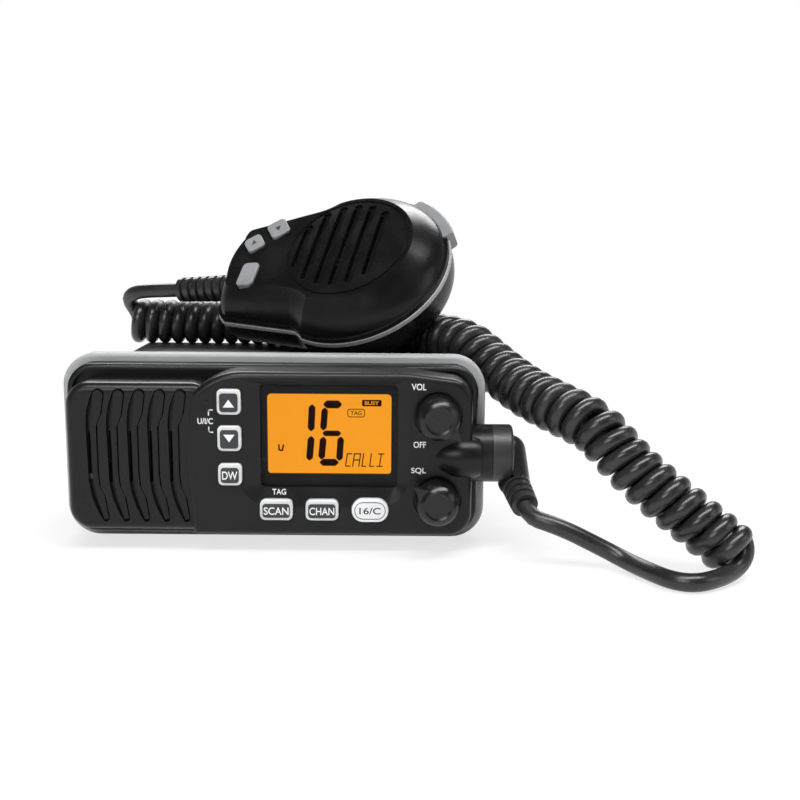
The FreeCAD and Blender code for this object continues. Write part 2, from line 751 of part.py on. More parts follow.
def panel_seal():
    """Rubber frame between the front panel and the chassis."""
    half = chassis_w / 2
    w = chassis_wall
    outer = rounded_block(-half, half, chassis_low, chassis_top, chassis_edge, flange_t + panel_seal_t,
                          flange_t)
    inner = rounded_block(-half + w, half - w, chassis_low + w, chassis_top - w, 1.0, flange_t + 2,
                          flange_t - 1)
    return outer.cut(inner)


def screws(spots, base, direction, length, head):
    """One group of screws at spots, each a shank of the common radius with a flat head of thickness head."""
    group = []
    for spot in spots:
        start = Vector(*base(spot))
        axis = Vector(*direction)
        shank = Part.makeCylinder(screw_r, length, start, axis)
        cap = Part.makeCylinder(screw_head_r, head, start - axis * head, axis)
        drive = Part.makeCylinder(screw_r * 0.8, head * 0.6, start - axis * head, axis, 360)
        group.append(fuse([shank, cap]).cut(drive))
    return Part.makeCompound(group)


def cover_screws():
    group = []
    for x, y in screw_spots:
        head = Part.makeCone(screw_head_r, screw_r, 1.3, Vector(x, y, cover_low))
        shank = rod((x, y, cover_low + 1.3), (x, y, chassis_low + 11), screw_r)
        drive = rod((x, y, cover_low - 0.1), (x, y, cover_low + 0.8), 1.0)
        group.append(fuse([head, shank]).cut(drive))
    return Part.makeCompound(group)


def panel_screws():
    return screws(panel_spots, lambda s: (s[0], chassis_front + tab_t, s[1]), (0, -1, 0),
                  tab_t + panel_screw_depth, screw_head_t)


def panel_tabs():
    """Ears inside the chassis mouth that the front panel's screws pass through."""
    inside = chassis_w / 2 - chassis_wall
    tabs = []
    for x, z in panel_spots:
        x0, x1 = (-inside - 0.5, x + tab_r) if x < 0 else (x - tab_r, inside + 0.5)
        tabs.append(box(x0, x1, chassis_front, chassis_front + tab_t, z - tab_r, z + tab_r))
    return tabs


def board_screws():
    return screws(board_spots, lambda s: (s[0], s[1], main_board_z), (0, 0, 1), 7.0, screw_head_t)


def main_board():
    half = main_board_w / 2
    board = box(-half, half, chassis_front + 5, chassis_back - chassis_wall - 1.5, main_board_z,
                main_board_z + board_t)
    return cut(board, [rod((x, y, main_board_z - 1), (x, y, main_board_z + 3), screw_r + 0.15)
                       for x, y in board_spots])


def power_module():
    """Transmitter power module, clamped under the chassis roof beside the rear wall."""
    top = chassis_top - chassis_wall
    low = main_board_z + board_t
    back = chassis_back - chassis_wall - 4
    edge = module_pad_inset
    block = box(module_left, module_right, back - module_depth, back, low, low + 7)
    pad = box(module_left + edge, module_right - edge, back - module_depth + edge, back - edge, low + 7, top)
    return fuse([block, pad])


def shield_can():
    low = main_board_z + board_t
    w = can_wall
    can = box(can_left, can_right, can_front, can_back, low, low + can_h)
    can = can.makeFillet(2 * w, level_edges(can, low + can_h))
    return can.cut(box(can_left + w, can_right - w, can_front + w, can_back - w, low - 1, low + can_h - w))


def antenna_socket():
    """Threaded coaxial socket with a square flange on the rear wall."""
    back = chassis_back
    t = antenna_flange_t
    half = antenna_flange / 2
    flange = box(antenna_x - half, antenna_x + half, back, back + t, antenna_z - half, antenna_z + half)
    upright = [e for e in flange.Edges if e.BoundBox.YLength > t - 0.1 and e.BoundBox.ZLength < 0.1]
    flange = flange.makeFillet(2.0, upright)
    barrel = rod_y(antenna_x, antenna_z, antenna_thread_r, back - chassis_wall - 3, back + t + antenna_len)
    socket = fuse([flange, barrel])
    mouth = rod_y(antenna_x, antenna_z, 6.3, back + t + 3, back + t + antenna_len + 1)
    core = rod_y(antenna_x, antenna_z, 2.6, back + t + 2.5, back + t + antenna_len - 1)
    core = core.cut(rod_y(antenna_x, antenna_z, 1.9, back + t + 5, back + t + antenna_len))
    return socket.cut(mouth).fuse(core)


def gland(x):
    """Rubber strain relief in the rear wall, with the hole that its lead runs through."""
    back = chassis_back
    stem = rod_y(x, gland_z, gland_r, back - chassis_wall - 1.4, back)
    inner_lip = rod_y(x, gland_z, gland_lip_r - 0.6, back - chassis_wall - 2.6, back - chassis_wall - 0.1)
    outer_lip = rod_y(x, gland_z, gland_lip_r, back + 0.05, back + 1.8)
    neck = Part.makeCone(gland_r, gland_r - 0.9, gland_reach, Vector(x, back, gland_z), Vector(0, 1, 0))
    return fuse([stem, inner_lip, outer_lip, neck]).cut(
        rod_y(x, gland_z, lead_hole_r, back - 10, back + gland_reach + 1))


# ---------------------------------------------------------------- microphone socket and plug
def mic_socket():
    """Socket insert held in the panel's boss."""
    body = socket_boss(socket_r - 0.1, boss_end - 11.5, boss_end - 6.0)
    pins = [rod((boss_end - 6.0, boss_y + 2.6 * math.cos(a), boss_z + 2.6 * math.sin(a)),
                (boss_end - 2.5, boss_y + 2.6 * math.cos(a), boss_z + 2.6 * math.sin(a)), 0.5)
            for a in (math.radians(60 * i) for i in range(6))]
    return fuse([body] + pins)


def plug_insert():
    """Fixed core of the plug: a sleeve around the socket's pins, and a stem into the boot."""
    sleeve = socket_boss(insert_r, boss_end - 5.5, boss_end + collar_len)
    return sleeve.cut(socket_boss(insert_r - 1.2, boss_end - 6, boss_end - 2))


def plug_collar():
    """Turning ring that locks the plug to the boss."""
    start = boss_end + collar_gap
    ring = rod((start, boss_y, boss_z), (boss_end + collar_len, boss_y, boss_z), boss_r)
    rim = [e for e in ring.Edges if abs(e.BoundBox.XMin - start - collar_len + collar_gap) < 0.01]
    ring = ring.makeFillet(1.2, rim)
    return ring.cut(socket_boss(insert_r + shaft_gap, start - 1, boss_end + collar_len + 1))


def boot_axis():
    end = Vector(*PLUG_LEAD[0]) + cord_shift
    aim = (Vector(*PLUG_LEAD[1]) + cord_shift - end).normalize()
    return end - aim * plug_boot_len, end, aim


def plug_boot():
    """Right-angle rubber boot: a domed elbow, then a ribbed tail."""
    elbow, end, aim = boot_axis()
    tail = [(0, 0), (0, plug_boot_r)]
    length = plug_boot_len - contact
    s = 1.4
    while s + rib_pitch < length:
        r = plug_rib_r - 0.5 * s / length
        crest = plug_boot_r - 0.2 if s < 2 else r
        tail += [(s, crest), (s + 0.3, r - 0.8), (s + 1.1, r - 0.8), (s + 1.4, r)]
        s += rib_pitch
    tail += [(length, plug_rib_r - 0.6), (length, 0)]
    ribs = revolve_axis(elbow, aim, tail)
    top = plug_boot_top
    body = rod(top, elbow, plug_boot_r)
    whole = fuse([body, Part.makeSphere(plug_boot_r, top), Part.makeSphere(plug_boot_r, elbow), ribs])
    return whole.cut(socket_boss(boss_r + 0.3, boss_end - 8, boss_end + collar_len + 0.1))


# ---------------------------------------------------------------- microphone
def mic_outline(offset, z):
    """Pear-shaped outline of the microphone at height z, moved in by offset."""
    r = head_r - offset
    half_neck = neck_half - offset
    half_tail = tail_half - offset
    join = math.radians(112)
    head_top = Vector(head_x + r * math.cos(join), r * math.sin(join), z)
    head_low = Vector(head_top.x, -head_top.y, z)
    nose = Vector(head_x + r, 0, z)
    neck = Vector(neck_x, half_neck, z)
    waist = Vector((neck.x * 0.45 + head_top.x * 0.55), (neck.y * 0.5 + head_top.y * 0.5) - 0.35, z)
    drawn_in = tail_end + offset * tail_steep
    half_far = half_tail - tail_far_in
    tail = Vector(drawn_in + 6.0, half_far, z)
    shoulder = Vector(drawn_in + 2.2, half_far * 0.62, z)
    corner = Vector(drawn_in + 2.9, half_far * 0.86, z)
    end = Vector(drawn_in, 0, z)
    near_shoulder = Vector(drawn_in + 1.2, -half_tail * 0.62, z)
    near_corner = Vector(drawn_in + 1.9, -half_tail * 0.86, z)
    near_tail = Vector(drawn_in + 5.0, -half_tail, z)

    def low(p):
        return Vector(p.x, -p.y, p.z)

    edges = [
        Part.Arc(head_low, nose, head_top), Part.Arc(head_top, waist, neck), Part.LineSegment(neck, tail),
        Part.Arc(tail, corner, shoulder), Part.Arc(shoulder, end, near_shoulder),
        Part.Arc(near_shoulder, near_corner, near_tail), Part.LineSegment(near_tail, low(neck)),
        Part.Arc(low(neck), low(waist), head_low),
    ]
    return Part.Wire([e.toShape() for e in edges])


def mic_loft(levels, ruled=False):
    return Part.makeLoft([mic_outline(offset, z) for z, offset in levels], True, ruled)


def ptt_solid(grow):
    """Push-to-talk bar on the head's shoulder: a ring segment with ends parallel to its travel."""
    r_out = ptt_reach if grow == 0 else ptt_reach + 2
    low, height = ptt_low - grow, ptt_high - ptt_low + 2 * grow
    ring = Part.makeCylinder(r_out, height, Vector(head_x, 0, low), Vector(0, 0, 1))
    hole_r = ptt_inner if grow == 0 else ptt_inner - ptt_travel - grow
    ring = ring.cut(Part.makeCylinder(hole_r, 3 * height, Vector(head_x, 0, low - height), Vector(0, 0, 1)))
    middle = (ptt_from + ptt_to) / 2
    half_w = head_r * math.sin(math.radians((ptt_to - ptt_from) / 2)) + grow
    slab = Part.makeBox(2 * r_out, 2 * half_w, 3 * height, Vector(0, -half_w, low - height))
    slab.rotate(Vector(0, 0, 0), Vector(0, 0, 1), middle)
    slab.translate(Vector(head_x, 0, 0))
    return ring.common(slab)


def ptt_button():
    bar = ptt_solid(0)
    arcs = [e for e in bar.Edges if e.Curve.TypeId == "Part::GeomCircle"]
    bar = bar.makeFillet(1.2, [e for e in arcs if abs(e.Curve.Radius - ptt_reach) < 0.01])
    ribs = []
    span = ptt_to - ptt_from
    for i in range(ptt_ribs):
        angle = math.radians(ptt_from + span * (i + 1) / (ptt_ribs + 1))
        x = head_x + (ptt_reach + 0.15) * math.cos(angle)
        y = (ptt_reach + 0.15) * math.sin(angle)
        foot = Vector(x, y, ptt_low - 0.5)
        ribs.append(Part.makeCylinder(0.5, ptt_high - ptt_low + 1, foot, Vector(0, 0, 1)))
    return cut(bar, ribs)


def mic_front_shell():
    rim = mic_loft([(0, 0), (mic_rim_t, 0.1)], True)
    dome = mic_loft([(1.0, 0.9), (4.2, 2.1), (7.2, 4.5), (9.8, 7.3), (mic_front, 9.9)])
    shell = fuse([rim, dome])
    tilt = math.degrees(math.atan2(mic_front - keypad_low, keypad_start - tail_end))
    knife = Part.makeBox(2 * head_r, 3 * head_r, 2 * mic_front, Vector(-2 * head_r, -1.5 * head_r, 0))
    knife.rotate(Vector(0, 0, 0), Vector(0, 1, 0), -tilt)
    knife.translate(Vector(keypad_start, 0, mic_front))
    shell = shell.cut(knife)
    inner = mic_loft([(-1, mic_wall), (5.0, mic_wall + 3.4), (8.0, mic_wall + 6.6)], True)
    roof = Part.makeBox(head_r, 2 * head_r, 5, Vector(keypad_start + 2.5 - head_r, -head_r, keypad_low - 3.2))
    inner = inner.cut(roof)
    seat_z = mic_front - grille_t
    seat = Part.makeCylinder(grille_r + 0.1, 10, Vector(grille_x, 0, seat_z), Vector(0, 0, 1))
    sound = Part.makeCylinder(slot_field_r, 10, Vector(grille_x, 0, 2), Vector(0, 0, 1))
    tools = [inner, seat, sound, ptt_solid(ptt_gap)]
    tools += [mic_key_solid(name, mic_key_gap, 0, 20) for name in mic_key_sizes]
    posts = [Part.makeCylinder(2.6, 6.0, Vector(x, y, 0.9), Vector(0, 0, 1)) for x, y in mic_screw_spots()]
    holes = [Part.makeCylinder(1.15, 6.2, Vector(x, y, -1), Vector(0, 0, 1)) for x, y in mic_screw_spots()]
    return cut(fuse([cut(shell, tools)] + posts), holes)


def mic_rear_shell():
    levels = [(-seal_t, 0), (-8.5, 0.4), (-12.4, 1.9), (-mic_back, 5.0)]
    shell = mic_loft(levels)
    inner = mic_loft([(0, mic_wall), (-8.5, mic_wall + 0.4), (-mic_back + mic_wall, mic_wall + 2.4)], True)
    exit_hole = Part.makeCylinder(mic_boot_r - 1.4, 20, Vector(tail_end - 5, 0, mic_boot_z), Vector(1, 0, 0))
    stud_hole = Part.makeCylinder(1.6, 10, Vector(0, 0, -mic_back - 1), Vector(0, 0, 1))
    body = cut(shell, [inner, ptt_solid(ptt_gap), exit_hole, stud_hole])
    posts = [Part.makeCylinder(2.6, mic_back - seal_t - 1.0, Vector(x, y, -mic_back + 1.0), Vector(0, 0, 1))
             for x, y in mic_screw_spots()]
    posts = [p.common(mic_loft(levels)) for p in posts]
    holes = []
    for x, y in mic_screw_spots():
        holes.append(Part.makeCylinder(1.2, 30, Vector(x, y, -20), Vector(0, 0, 1)))
        holes.append(Part.makeCylinder(2.3, 5, Vector(x, y, -mic_back - 3), Vector(0, 0, 1)))
    return cut(fuse([body] + posts), holes)


def mic_screw_spots():
    end_x, end_y = tail_end + 7.0, tail_half - 9.1
    return [(end_x, end_y), (end_x, -end_y), (head_x - 0.275 * head_r, 0.652 * head_r),
            (head_x + 0.42 * head_r, -0.638 * head_r)]


def mic_screws():
    group = []
    for x, y in mic_screw_spots():
        shank = Part.makeCylinder(1.1, mic_back + 2.0, Vector(x, y, -mic_back + 2.05), Vector(0, 0, 1))
        head = Part.makeCylinder(2.1, 1.5, Vector(x, y, -mic_back + 0.45), Vector(0, 0, 1))
        drive = Part.makeCylinder(0.9, 1.0, Vector(x, y, -mic_back + 0.44), Vector(0, 0, 1))
        group.append(fuse([shank, head]).cut(drive))
    return Part.makeCompound(group)


def mic_seal():
    band = mic_loft([(-seal_t, -seal_proud), (0, -seal_proud)], True)
    inner = mic_loft([(-seal_t - 1, mic_wall - 0.4), (1, mic_wall - 0.4)], True)
    return cut(band, [inner, ptt_solid(ptt_gap)])


def mic_grille():
    """Domed disc with a row of parallel grooves, each with a sound slit down one side."""
    top = mic_front + grille_dome
    ball_r = (grille_r ** 2 + grille_dome ** 2) / (2 * grille_dome)
    depth = grille_t + grille_dome
    disc = Part.makeCylinder(grille_r, depth, Vector(grille_x, 0, top - depth), Vector(0, 0, 1))
    disc = disc.common(Part.makeSphere(ball_r, Vector(grille_x, 0, top - ball_r)))
    tools = []
    for i in range(slot_count):
        x = slot_first_x + i * slot_pitch
        half = math.sqrt(slot_field_r ** 2 - (x - slot_field_x) ** 2) - slot_w / 2
        low = slot_field_y - half
        floor = mic_front - slot_depth
        bar = Part.makeBox(slot_w, 2 * half, 10, Vector(x - slot_w / 2, low, floor))
        ends = [Part.makeCylinder(slot_w / 2, 10, Vector(x, y, floor), Vector(0, 0, 1))
                for y in (slot_field_y - half, slot_field_y + half)]
        slit = Part.makeBox(slot_slit, 2 * half, 10, Vector(x - slot_w / 2, low, mic_front - 5))
        right = Vector(x + slot_w / 2 - slot_edge, low, mic_front - slot_edge_depth)
        edge = Part.makeBox(slot_edge, 2 * half, 10, right)
        tools += [fuse([bar] + ends), slit, edge]
    step = Part.makeCylinder(grille_r + 1, 5, Vector(grille_x, 0, mic_front - 0.3), Vector(0, 0, 1))
    step = step.cut(Part.makeCylinder(grille_r - grille_groove, 5, Vector(grille_x, 0, mic_front - 0.4),
                                      Vector(0, 0, 1)))
    for tool in [step] + tools:
        disc = disc.cut(tool)
    return disc


def mic_key_solid(name, grow, z0, z1):
    x, y, length, width, turn = mic_key_sizes[name]
    half_l, half_w = length / 2 + grow, width / 2 + grow
    block = Part.makeBox(2 * half_l, 2 * half_w, z1 - z0, Vector(-half_l, -half_w, z0))
    upright = [e for e in block.Edges if e.BoundBox.ZLength > (z1 - z0) * 0.9]
    block = block.makeFillet(1.8 + grow, upright)
    block.rotate(Vector(0, 0, 0), Vector(0, 0, 1), turn)
    block.translate(Vector(x, y, 0))
    return block


def keypad_z(x):
    """Height of the sloping keypad face at x."""
    return mic_front - (keypad_start - x) * (mic_front - keypad_low) / (keypad_start - tail_end)


def mic_key(name):
    x = mic_key_sizes[name][0]
    top = keypad_z(x) + mic_key_proud
    foot = mic_board_z + 0.1 + mic_key_travel
    cap = mic_key_solid(name, 0, foot + 1.0, top)
    cap = cap.makeFillet(0.5, level_edges(cap, top))
    y = mic_key_sizes[name][1]
    stem = Part.makeCylinder(1.5, 1.1, Vector(x, y, foot), Vector(0, 0, 1))
    return fuse([cap, stem])


def mic_board():
    """Small circuit board on the front shell's posts."""
    board = mic_loft([(mic_board_z - mic_board_t, mic_board_inset), (mic_board_z, mic_board_inset)], True)
    end_x = tail_end + mic_board_tail_gap
    tail = Part.makeBox(head_r, 4 * head_r, 4 * mic_board_z,
                        Vector(end_x - head_r, -2 * head_r, -mic_board_z))
    holes = [Part.makeCylinder(2.8, 4 * mic_board_z, Vector(x, y, -mic_board_z), Vector(0, 0, 1))
             for x, y in mic_screw_spots()]
    clear = ptt_solid(ptt_gap + 2.0)
    return cut(board, holes + [tail, clear])


def mic_capsule():
    low = mic_board_z
    can = Part.makeCylinder(4.9, 6.0, Vector(grille_x, 0, low), Vector(0, 0, 1))
    return can.makeFillet(0.5, level_edges(can, low + 6.0))


def ptt_switch():
    """Sealed switch on the board, with its plunger just short of the push-to-talk bar."""
    middle = math.radians((ptt_from + ptt_to) / 2)
    reach = ptt_inner - ptt_travel - ptt_gap
    low = mic_board_z - mic_board_t - switch_t - 0.1
    front = reach - plunger_len + 0.5
    body = Part.makeBox(switch_len, switch_w, switch_t, Vector(front - switch_len, -switch_w / 2, low))
    plunger = Part.makeCylinder(plunger_r, plunger_len, Vector(reach - plunger_len, 0, low + switch_t / 2),
                                Vector(1, 0, 0))
    switch = fuse([body, plunger])
    switch.rotate(Vector(0, 0, 0), Vector(0, 0, 1), math.degrees(middle))
    switch.translate(Vector(head_x, 0, 0))
    return switch


def mic_boot():
    """Ribbed strain relief at the cord end."""
    start = Vector(tail_end + 1.6, 0, mic_boot_z)
    length = mic_boot_len + 1.6
    profile = [(-4.0, 0), (-4.0, mic_boot_r - 1.5), (0, mic_boot_r - 1.5), (0, mic_boot_r)]
    s = 7.0
    while s + 2.6 < length:
        r = mic_boot_r - (mic_boot_r - mic_boot_end_r) * s / length
        profile += [(s, r), (s + 0.3, r - 1.1), (s + 1.2, r - 1.1), (s + 1.5, r)]
        s += 3.6
    profile += [(length - contact, mic_boot_end_r), (length - contact, 0)]
    boot = revolve_axis(start, (-1, 0, 0), profile)
    body = mic_loft([(-seal_t + 0.4, -0.15), (-8.5, 0.25), (-12.4, 1.75), (-mic_back, 4.8)])
    core = Part.makeCylinder(mic_boot_r - 1.5, 30, Vector(tail_end - 2, 0, mic_boot_z), Vector(1, 0, 0))
    return boot.cut(body.cut(core))


def hanger_button():
    """Round button on the back that hooks into a wall clip."""
    back = -mic_back
    neck = Part.makeCylinder(hanger_neck_r, hanger_reach, Vector(0, 0, back - hanger_reach), Vector(0, 0, 1))
    head = Part.makeCylinder(hanger_r, hanger_head_t, Vector(0, 0, back - hanger_reach), Vector(0, 0, 1))
    head = head.makeFillet(0.6, level_edges(head, back - hanger_reach))
    stud = Part.makeCylinder(1.5, 2.0, Vector(0, 0, back), Vector(0, 0, 1))
    return fuse([neck, head, stud])


def on_radio(shape):
    """Moves a microphone piece from its own frame to where the microphone lies."""
    turn = (Rotation(Vector(0, 0, 1), mic_swing) * Rotation(Vector(0, 1, 0), -mic_rise)
            * Rotation(Vector(1, 0, 0), mic_tilt))
    return shape.transformed(Placement(mic_place, turn).toMatrix())


# ---------------------------------------------------------------- cord
def rounded_path(name, route):
    """Wire of straight runs joined by tangent arcs, and its length; prints each arc's radius."""
    points = [Vector(*p) + cord_shift for p in route]
    edges = []
    radii = []
    start = points[0]
    for before, corner, after in zip(points[:-2], points[1:-1], points[2:]):
        to_back = (before - corner).normalize()
        to_next = (after - corner).normalize()
        reach = 0.45 * min((before - corner).Length, (after - corner).Length)
        half_turn = (math.pi - to_back.getAngle(to_next)) / 2
        radius = reach / math.tan(half_turn)
        enter = corner + to_back * reach
        leave = corner + to_next * reach
        inward = (to_back + to_next).normalize()
        middle = corner + inward * (radius / math.cos(half_turn) - radius)
        edges.append(Part.LineSegment(start, enter).toShape())
        edges.append(Part.Arc(enter, middle, leave).toShape())
        radii.append(round(radius, 1))
        start = leave
    edges.append(Part.LineSegment(start, points[-1]).toShape())
    print(name, "arc radii", radii)
    return Part.Wire(edges)


def tube(name, route, r):
    path = rounded_path(name, route)
    aim = Vector(*route[1]) - Vector(*route[0])
    ring = Part.Wire(Part.makeCircle(r, Vector(*route[0]) + cord_shift, aim))
    solid = path.makePipeShell([ring], True, False)
    ideal = math.pi * r * r * path.Length
    print(name, "length", round(path.Length, 1), "volume share", round(solid.Volume / ideal, 4))
    return solid


# ---------------------------------------------------------------- all pieces
def build():
    glass, glow = display()
    basket, cone, magnet = loudspeaker()
    pieces = {
        "front_panel": front_panel(),
        "trim_ring": trim_ring(),
        "panel_seal": panel_seal(),
        "display_window": window(),
        "display_glass": glass,
        "display_backlight": glow,
        "key_membrane": key_membrane(),
        "front_board": front_board(),
        "volume_pot": pot(volume_z),
        "squelch_pot": pot(squelch_z),
        "volume_knob": knob(volume_z, volume_pointer),
        "squelch_knob": knob(squelch_z, squelch_pointer),
        "volume_shaft": knob_shaft(volume_z),
        "squelch_shaft": knob_shaft(squelch_z),
        "speaker_basket": basket,
        "speaker_cone": cone,
        "speaker_magnet": magnet,
        "mic_socket": mic_socket(),
        "panel_screws": panel_screws(),
        "chassis": chassis(),
        "bottom_cover": bottom_cover(),
        "cover_seal": ring_plate(cover_low + cover_t, chassis_low, chassis_wall),
        "cover_screws": cover_screws(),
        "main_board": main_board(),
        "board_screws": board_screws(),
        "power_module": power_module(),
        "shield_can": shield_can(),
        "antenna_socket": antenna_socket(),
        "power_gland": gland(power_gland_x),
        "accessory_gland": gland(accessory_gland_x),
        "plug_insert": plug_insert(),
        "plug_collar": plug_collar(),
        "plug_boot": plug_boot(),
        "mic_lead": tube("mic_lead", MIC_LEAD, cord_r),
        "cord_coil": tube("cord_coil", COIL, coil_r),
        "plug_lead": tube("plug_lead", PLUG_LEAD, cord_r),
    }
    for name in key_sizes:
        pieces[name] = key(name)
    microphone = {
        "mic_front_shell": mic_front_shell(),
        "mic_rear_shell": mic_rear_shell(),
        "mic_seal": mic_seal(),
        "mic_grille": mic_grille(),
        "mic_board": mic_board(),
        "mic_capsule": mic_capsule(),
        "ptt_button": ptt_button(),
        "ptt_switch": ptt_switch(),
        "mic_boot": mic_boot(),
        "hanger_button": hanger_button(),
        "mic_screws": mic_screws(),
    }
    for name in mic_key_sizes:
        microphone[name] = mic_key(name)
    for name, shape in microphone.items():
        pieces[name] = on_radio(shape)
    return pieces


def main():
    os.makedirs("parts", exist_ok=True)
    for name, shape in build().items():
        shape.exportStep("parts/" + name + ".step")
        print(name, "solids", len(shape.Solids), "volume", round(shape.Volume, 1), "valid", shape.isValid())


main()
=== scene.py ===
"""Looks of the fixed-mount marine radio: finishes, display, key faces, printed marks, curly cord and stage.

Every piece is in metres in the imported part's frame: X to the right, Y towards the back, Z up.
"""
import json
import math

import bpy
from mathutils import Matrix, Vector


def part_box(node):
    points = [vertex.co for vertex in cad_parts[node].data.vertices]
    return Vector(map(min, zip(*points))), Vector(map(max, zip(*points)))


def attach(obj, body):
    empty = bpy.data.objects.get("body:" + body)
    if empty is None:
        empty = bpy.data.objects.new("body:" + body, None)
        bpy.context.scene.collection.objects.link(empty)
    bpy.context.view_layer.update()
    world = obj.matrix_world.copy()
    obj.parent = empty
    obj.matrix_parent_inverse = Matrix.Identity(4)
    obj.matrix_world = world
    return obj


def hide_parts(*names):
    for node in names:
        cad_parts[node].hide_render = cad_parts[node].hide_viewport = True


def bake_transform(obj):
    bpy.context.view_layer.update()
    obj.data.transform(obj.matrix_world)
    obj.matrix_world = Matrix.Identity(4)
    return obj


bl_info = {
    "name": "Marine radio looks",
    "version": (1, 0, 0),
    "blender": (4, 5, 0),
    "location": "View3D > Sidebar > Marine radio",
    "description": "Finishes, display, keys, cord and stage of a marine radio with a hand microphone",
    "category": "Object",
}

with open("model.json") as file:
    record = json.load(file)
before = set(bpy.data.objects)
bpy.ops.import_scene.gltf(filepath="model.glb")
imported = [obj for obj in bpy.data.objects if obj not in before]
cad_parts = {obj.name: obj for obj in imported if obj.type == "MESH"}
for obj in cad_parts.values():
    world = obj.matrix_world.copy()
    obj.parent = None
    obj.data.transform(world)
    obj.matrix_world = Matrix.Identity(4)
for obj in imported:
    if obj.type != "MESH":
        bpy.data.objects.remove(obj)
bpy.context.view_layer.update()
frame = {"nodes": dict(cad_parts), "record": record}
NODES = frame["nodes"]
SLOT_OF = {row["node"]: row["material_slot"] for row in frame["record"]["subparts"]}
MM = 0.001
# How far a moulded surface's roughness drifts either side of its value.
GLOSS_DRIFT = 0.05

# The curly cord's route, from the microphone's boot to the plug's boot.
MIC_LEAD = [
    (-0.04476, 0.07312, 0.07776), (-0.0515, 0.0758, 0.0773), (-0.0598, 0.0790, 0.0768),
    (-0.0661, 0.0812, 0.0757), (-0.0690, 0.0853, 0.0728),
]
COIL = [
    (-0.0670, 0.0860, 0.0639), (-0.0260, 0.0860, 0.0639), (0.0060, 0.0770, 0.0639),
    (0.0330, 0.0575, 0.0639), (0.0520, 0.0395, 0.0640), (0.0650, 0.0260, 0.0636),
    (0.0723, 0.0175, 0.0582), (0.0778, 0.0110, 0.0540), (0.0849, 0.0002, 0.0497),
    (0.0925, -0.0105, 0.0471), (0.0996, -0.0178, 0.0446), (0.1048, -0.0219, 0.0420),
    (0.1089, -0.0248, 0.0373), (0.1153, -0.0288, 0.0305), (0.1228, -0.0326, 0.0243),
    (0.1315, -0.0363, 0.0179), (0.1379, -0.0387, 0.0127), (0.1435, -0.0405, 0.0087),
]
PLUG_LEAD = [
    (0.1461, -0.0401, 0.0136), (0.1477, -0.0412, 0.0102), (0.1471, -0.0426, 0.0064),
    (0.1440, -0.0446, 0.0036), (0.1386, -0.0495, 0.0029), (0.1325, -0.0541, 0.0029),
    (0.1274, -0.0554, 0.0029), (0.1226, -0.0528, 0.0029), (0.1189, -0.0470, 0.0029),
    (0.1150, -0.0402, 0.0030), (0.1118, -0.0362, 0.0037), (0.1074, -0.0338, 0.0056),
    (0.1015, -0.0328, 0.0084), (0.0955, -0.0322, 0.0113), (0.0886, -0.0310, 0.0138),
    (0.0835, -0.0283, 0.0147), (0.0821, -0.0240, 0.0173),
]
# Where on its turn the coil starts and ends, as an angle from the top.
COIL_START, COIL_END = math.radians(-60.0), 0.0
# How finely the coil's axis and the cord itself are stepped between two of their points.
AXIS_STEPS, CORD_STEPS = 24, 3

# The microphone's own frame: its length, its width, its face and its middle.
MIC_LONG = Vector((0.92730, -0.36902, 0.06279))
MIC_ACROSS = Vector((0.22545, 0.68449, 0.69329))
MIC_FACE = Vector((-0.29881, -0.62873, 0.71792))
MIC_PLACE = Vector((0.0249, 0.0400, 0.0878))

# Depth of the panel's raised face.
PANEL_FACE = -0.020
# Each panel key's body, the height of its middle, and its visible width and height, in mm.
KEYS = {
    "key_up": ("up_key", 49.7, 7.6, 8.2), "key_down": ("down_key", 37.9, 7.6, 8.2),
    "key_watch": ("watch_key", 26.1, 7.6, 7.2), "key_scan": ("scan_key", 14.5, 10.6, 6.8),
    "key_channel": ("channel_key", 14.5, 10.6, 6.8), "key_priority": ("priority_key", 14.5, 11.9, 7.6),
}
# Dark plates of the keys in mm: how far they stand proud, their rounding, and the rim's extra width above.
KEY_PROUD, KEY_CORNER, KEY_BROW = 0.15, 1.0, 0.4
# Words on the keys, with their height and width in mm, and how far below the middle they sit.
KEY_WORDS = {
    "key_watch": ("DW", 2.7, 4.9), "key_scan": ("SCAN", 2.5, 8.0), "key_channel": ("CHAN", 2.5, 8.0),
}
KEY_WORD_DROP = 0.25
# Arrows on the keys: shift from the middle in mm and turn in radians, and their width and height in mm.
KEY_ARROWS = {"key_up": (-0.85, 0.0), "key_down": (0.5, math.pi)}
KEY_ARROW_WIDTH, KEY_ARROW_HEIGHT = 3.6, 2.5
# Ring on the white key in mm: inset from the key's edge, rounding and line; and the word in it.
RING_INSET, RING_CORNER, RING_LINE = 1.9, 2.7, 0.22
RING_WORD, RING_WORD_HEIGHT, RING_WORD_WIDTH, RING_WORD_DROP = "16/C", 2.2, 6.9, 0.05
# Words printed on the panel: text, middle x and z, height and width, in mm.
PANEL_WORDS = [
    ("VOL", 48.0, 54.8, 2.1, 4.7), ("OFF", 48.4, 36.1, 2.0, 4.0), ("SQL", 48.1, 27.5, 2.1, 4.7),
    ("TAG", 3.3, 20.3, 1.9, 4.4), ("U/I/C", -20.0, 43.3, 1.9, 4.9),
]
# The lit part of the display and the window round it: left, right, bottom, top and rounding, in mm.
LIT_AREA = (-0.5, 39.25, 25.55, 51.85, 1.25)
WINDOW_AREA = (-2.7, 41.3, 21.5, 55.1, 1.5)
# Black border in mm: its gap behind the window, its thickness, and how far its opening is cut either side.
BORDER_GAP, BORDER_THICKNESS, BORDER_CUT = 0.01, 0.05, 1.0
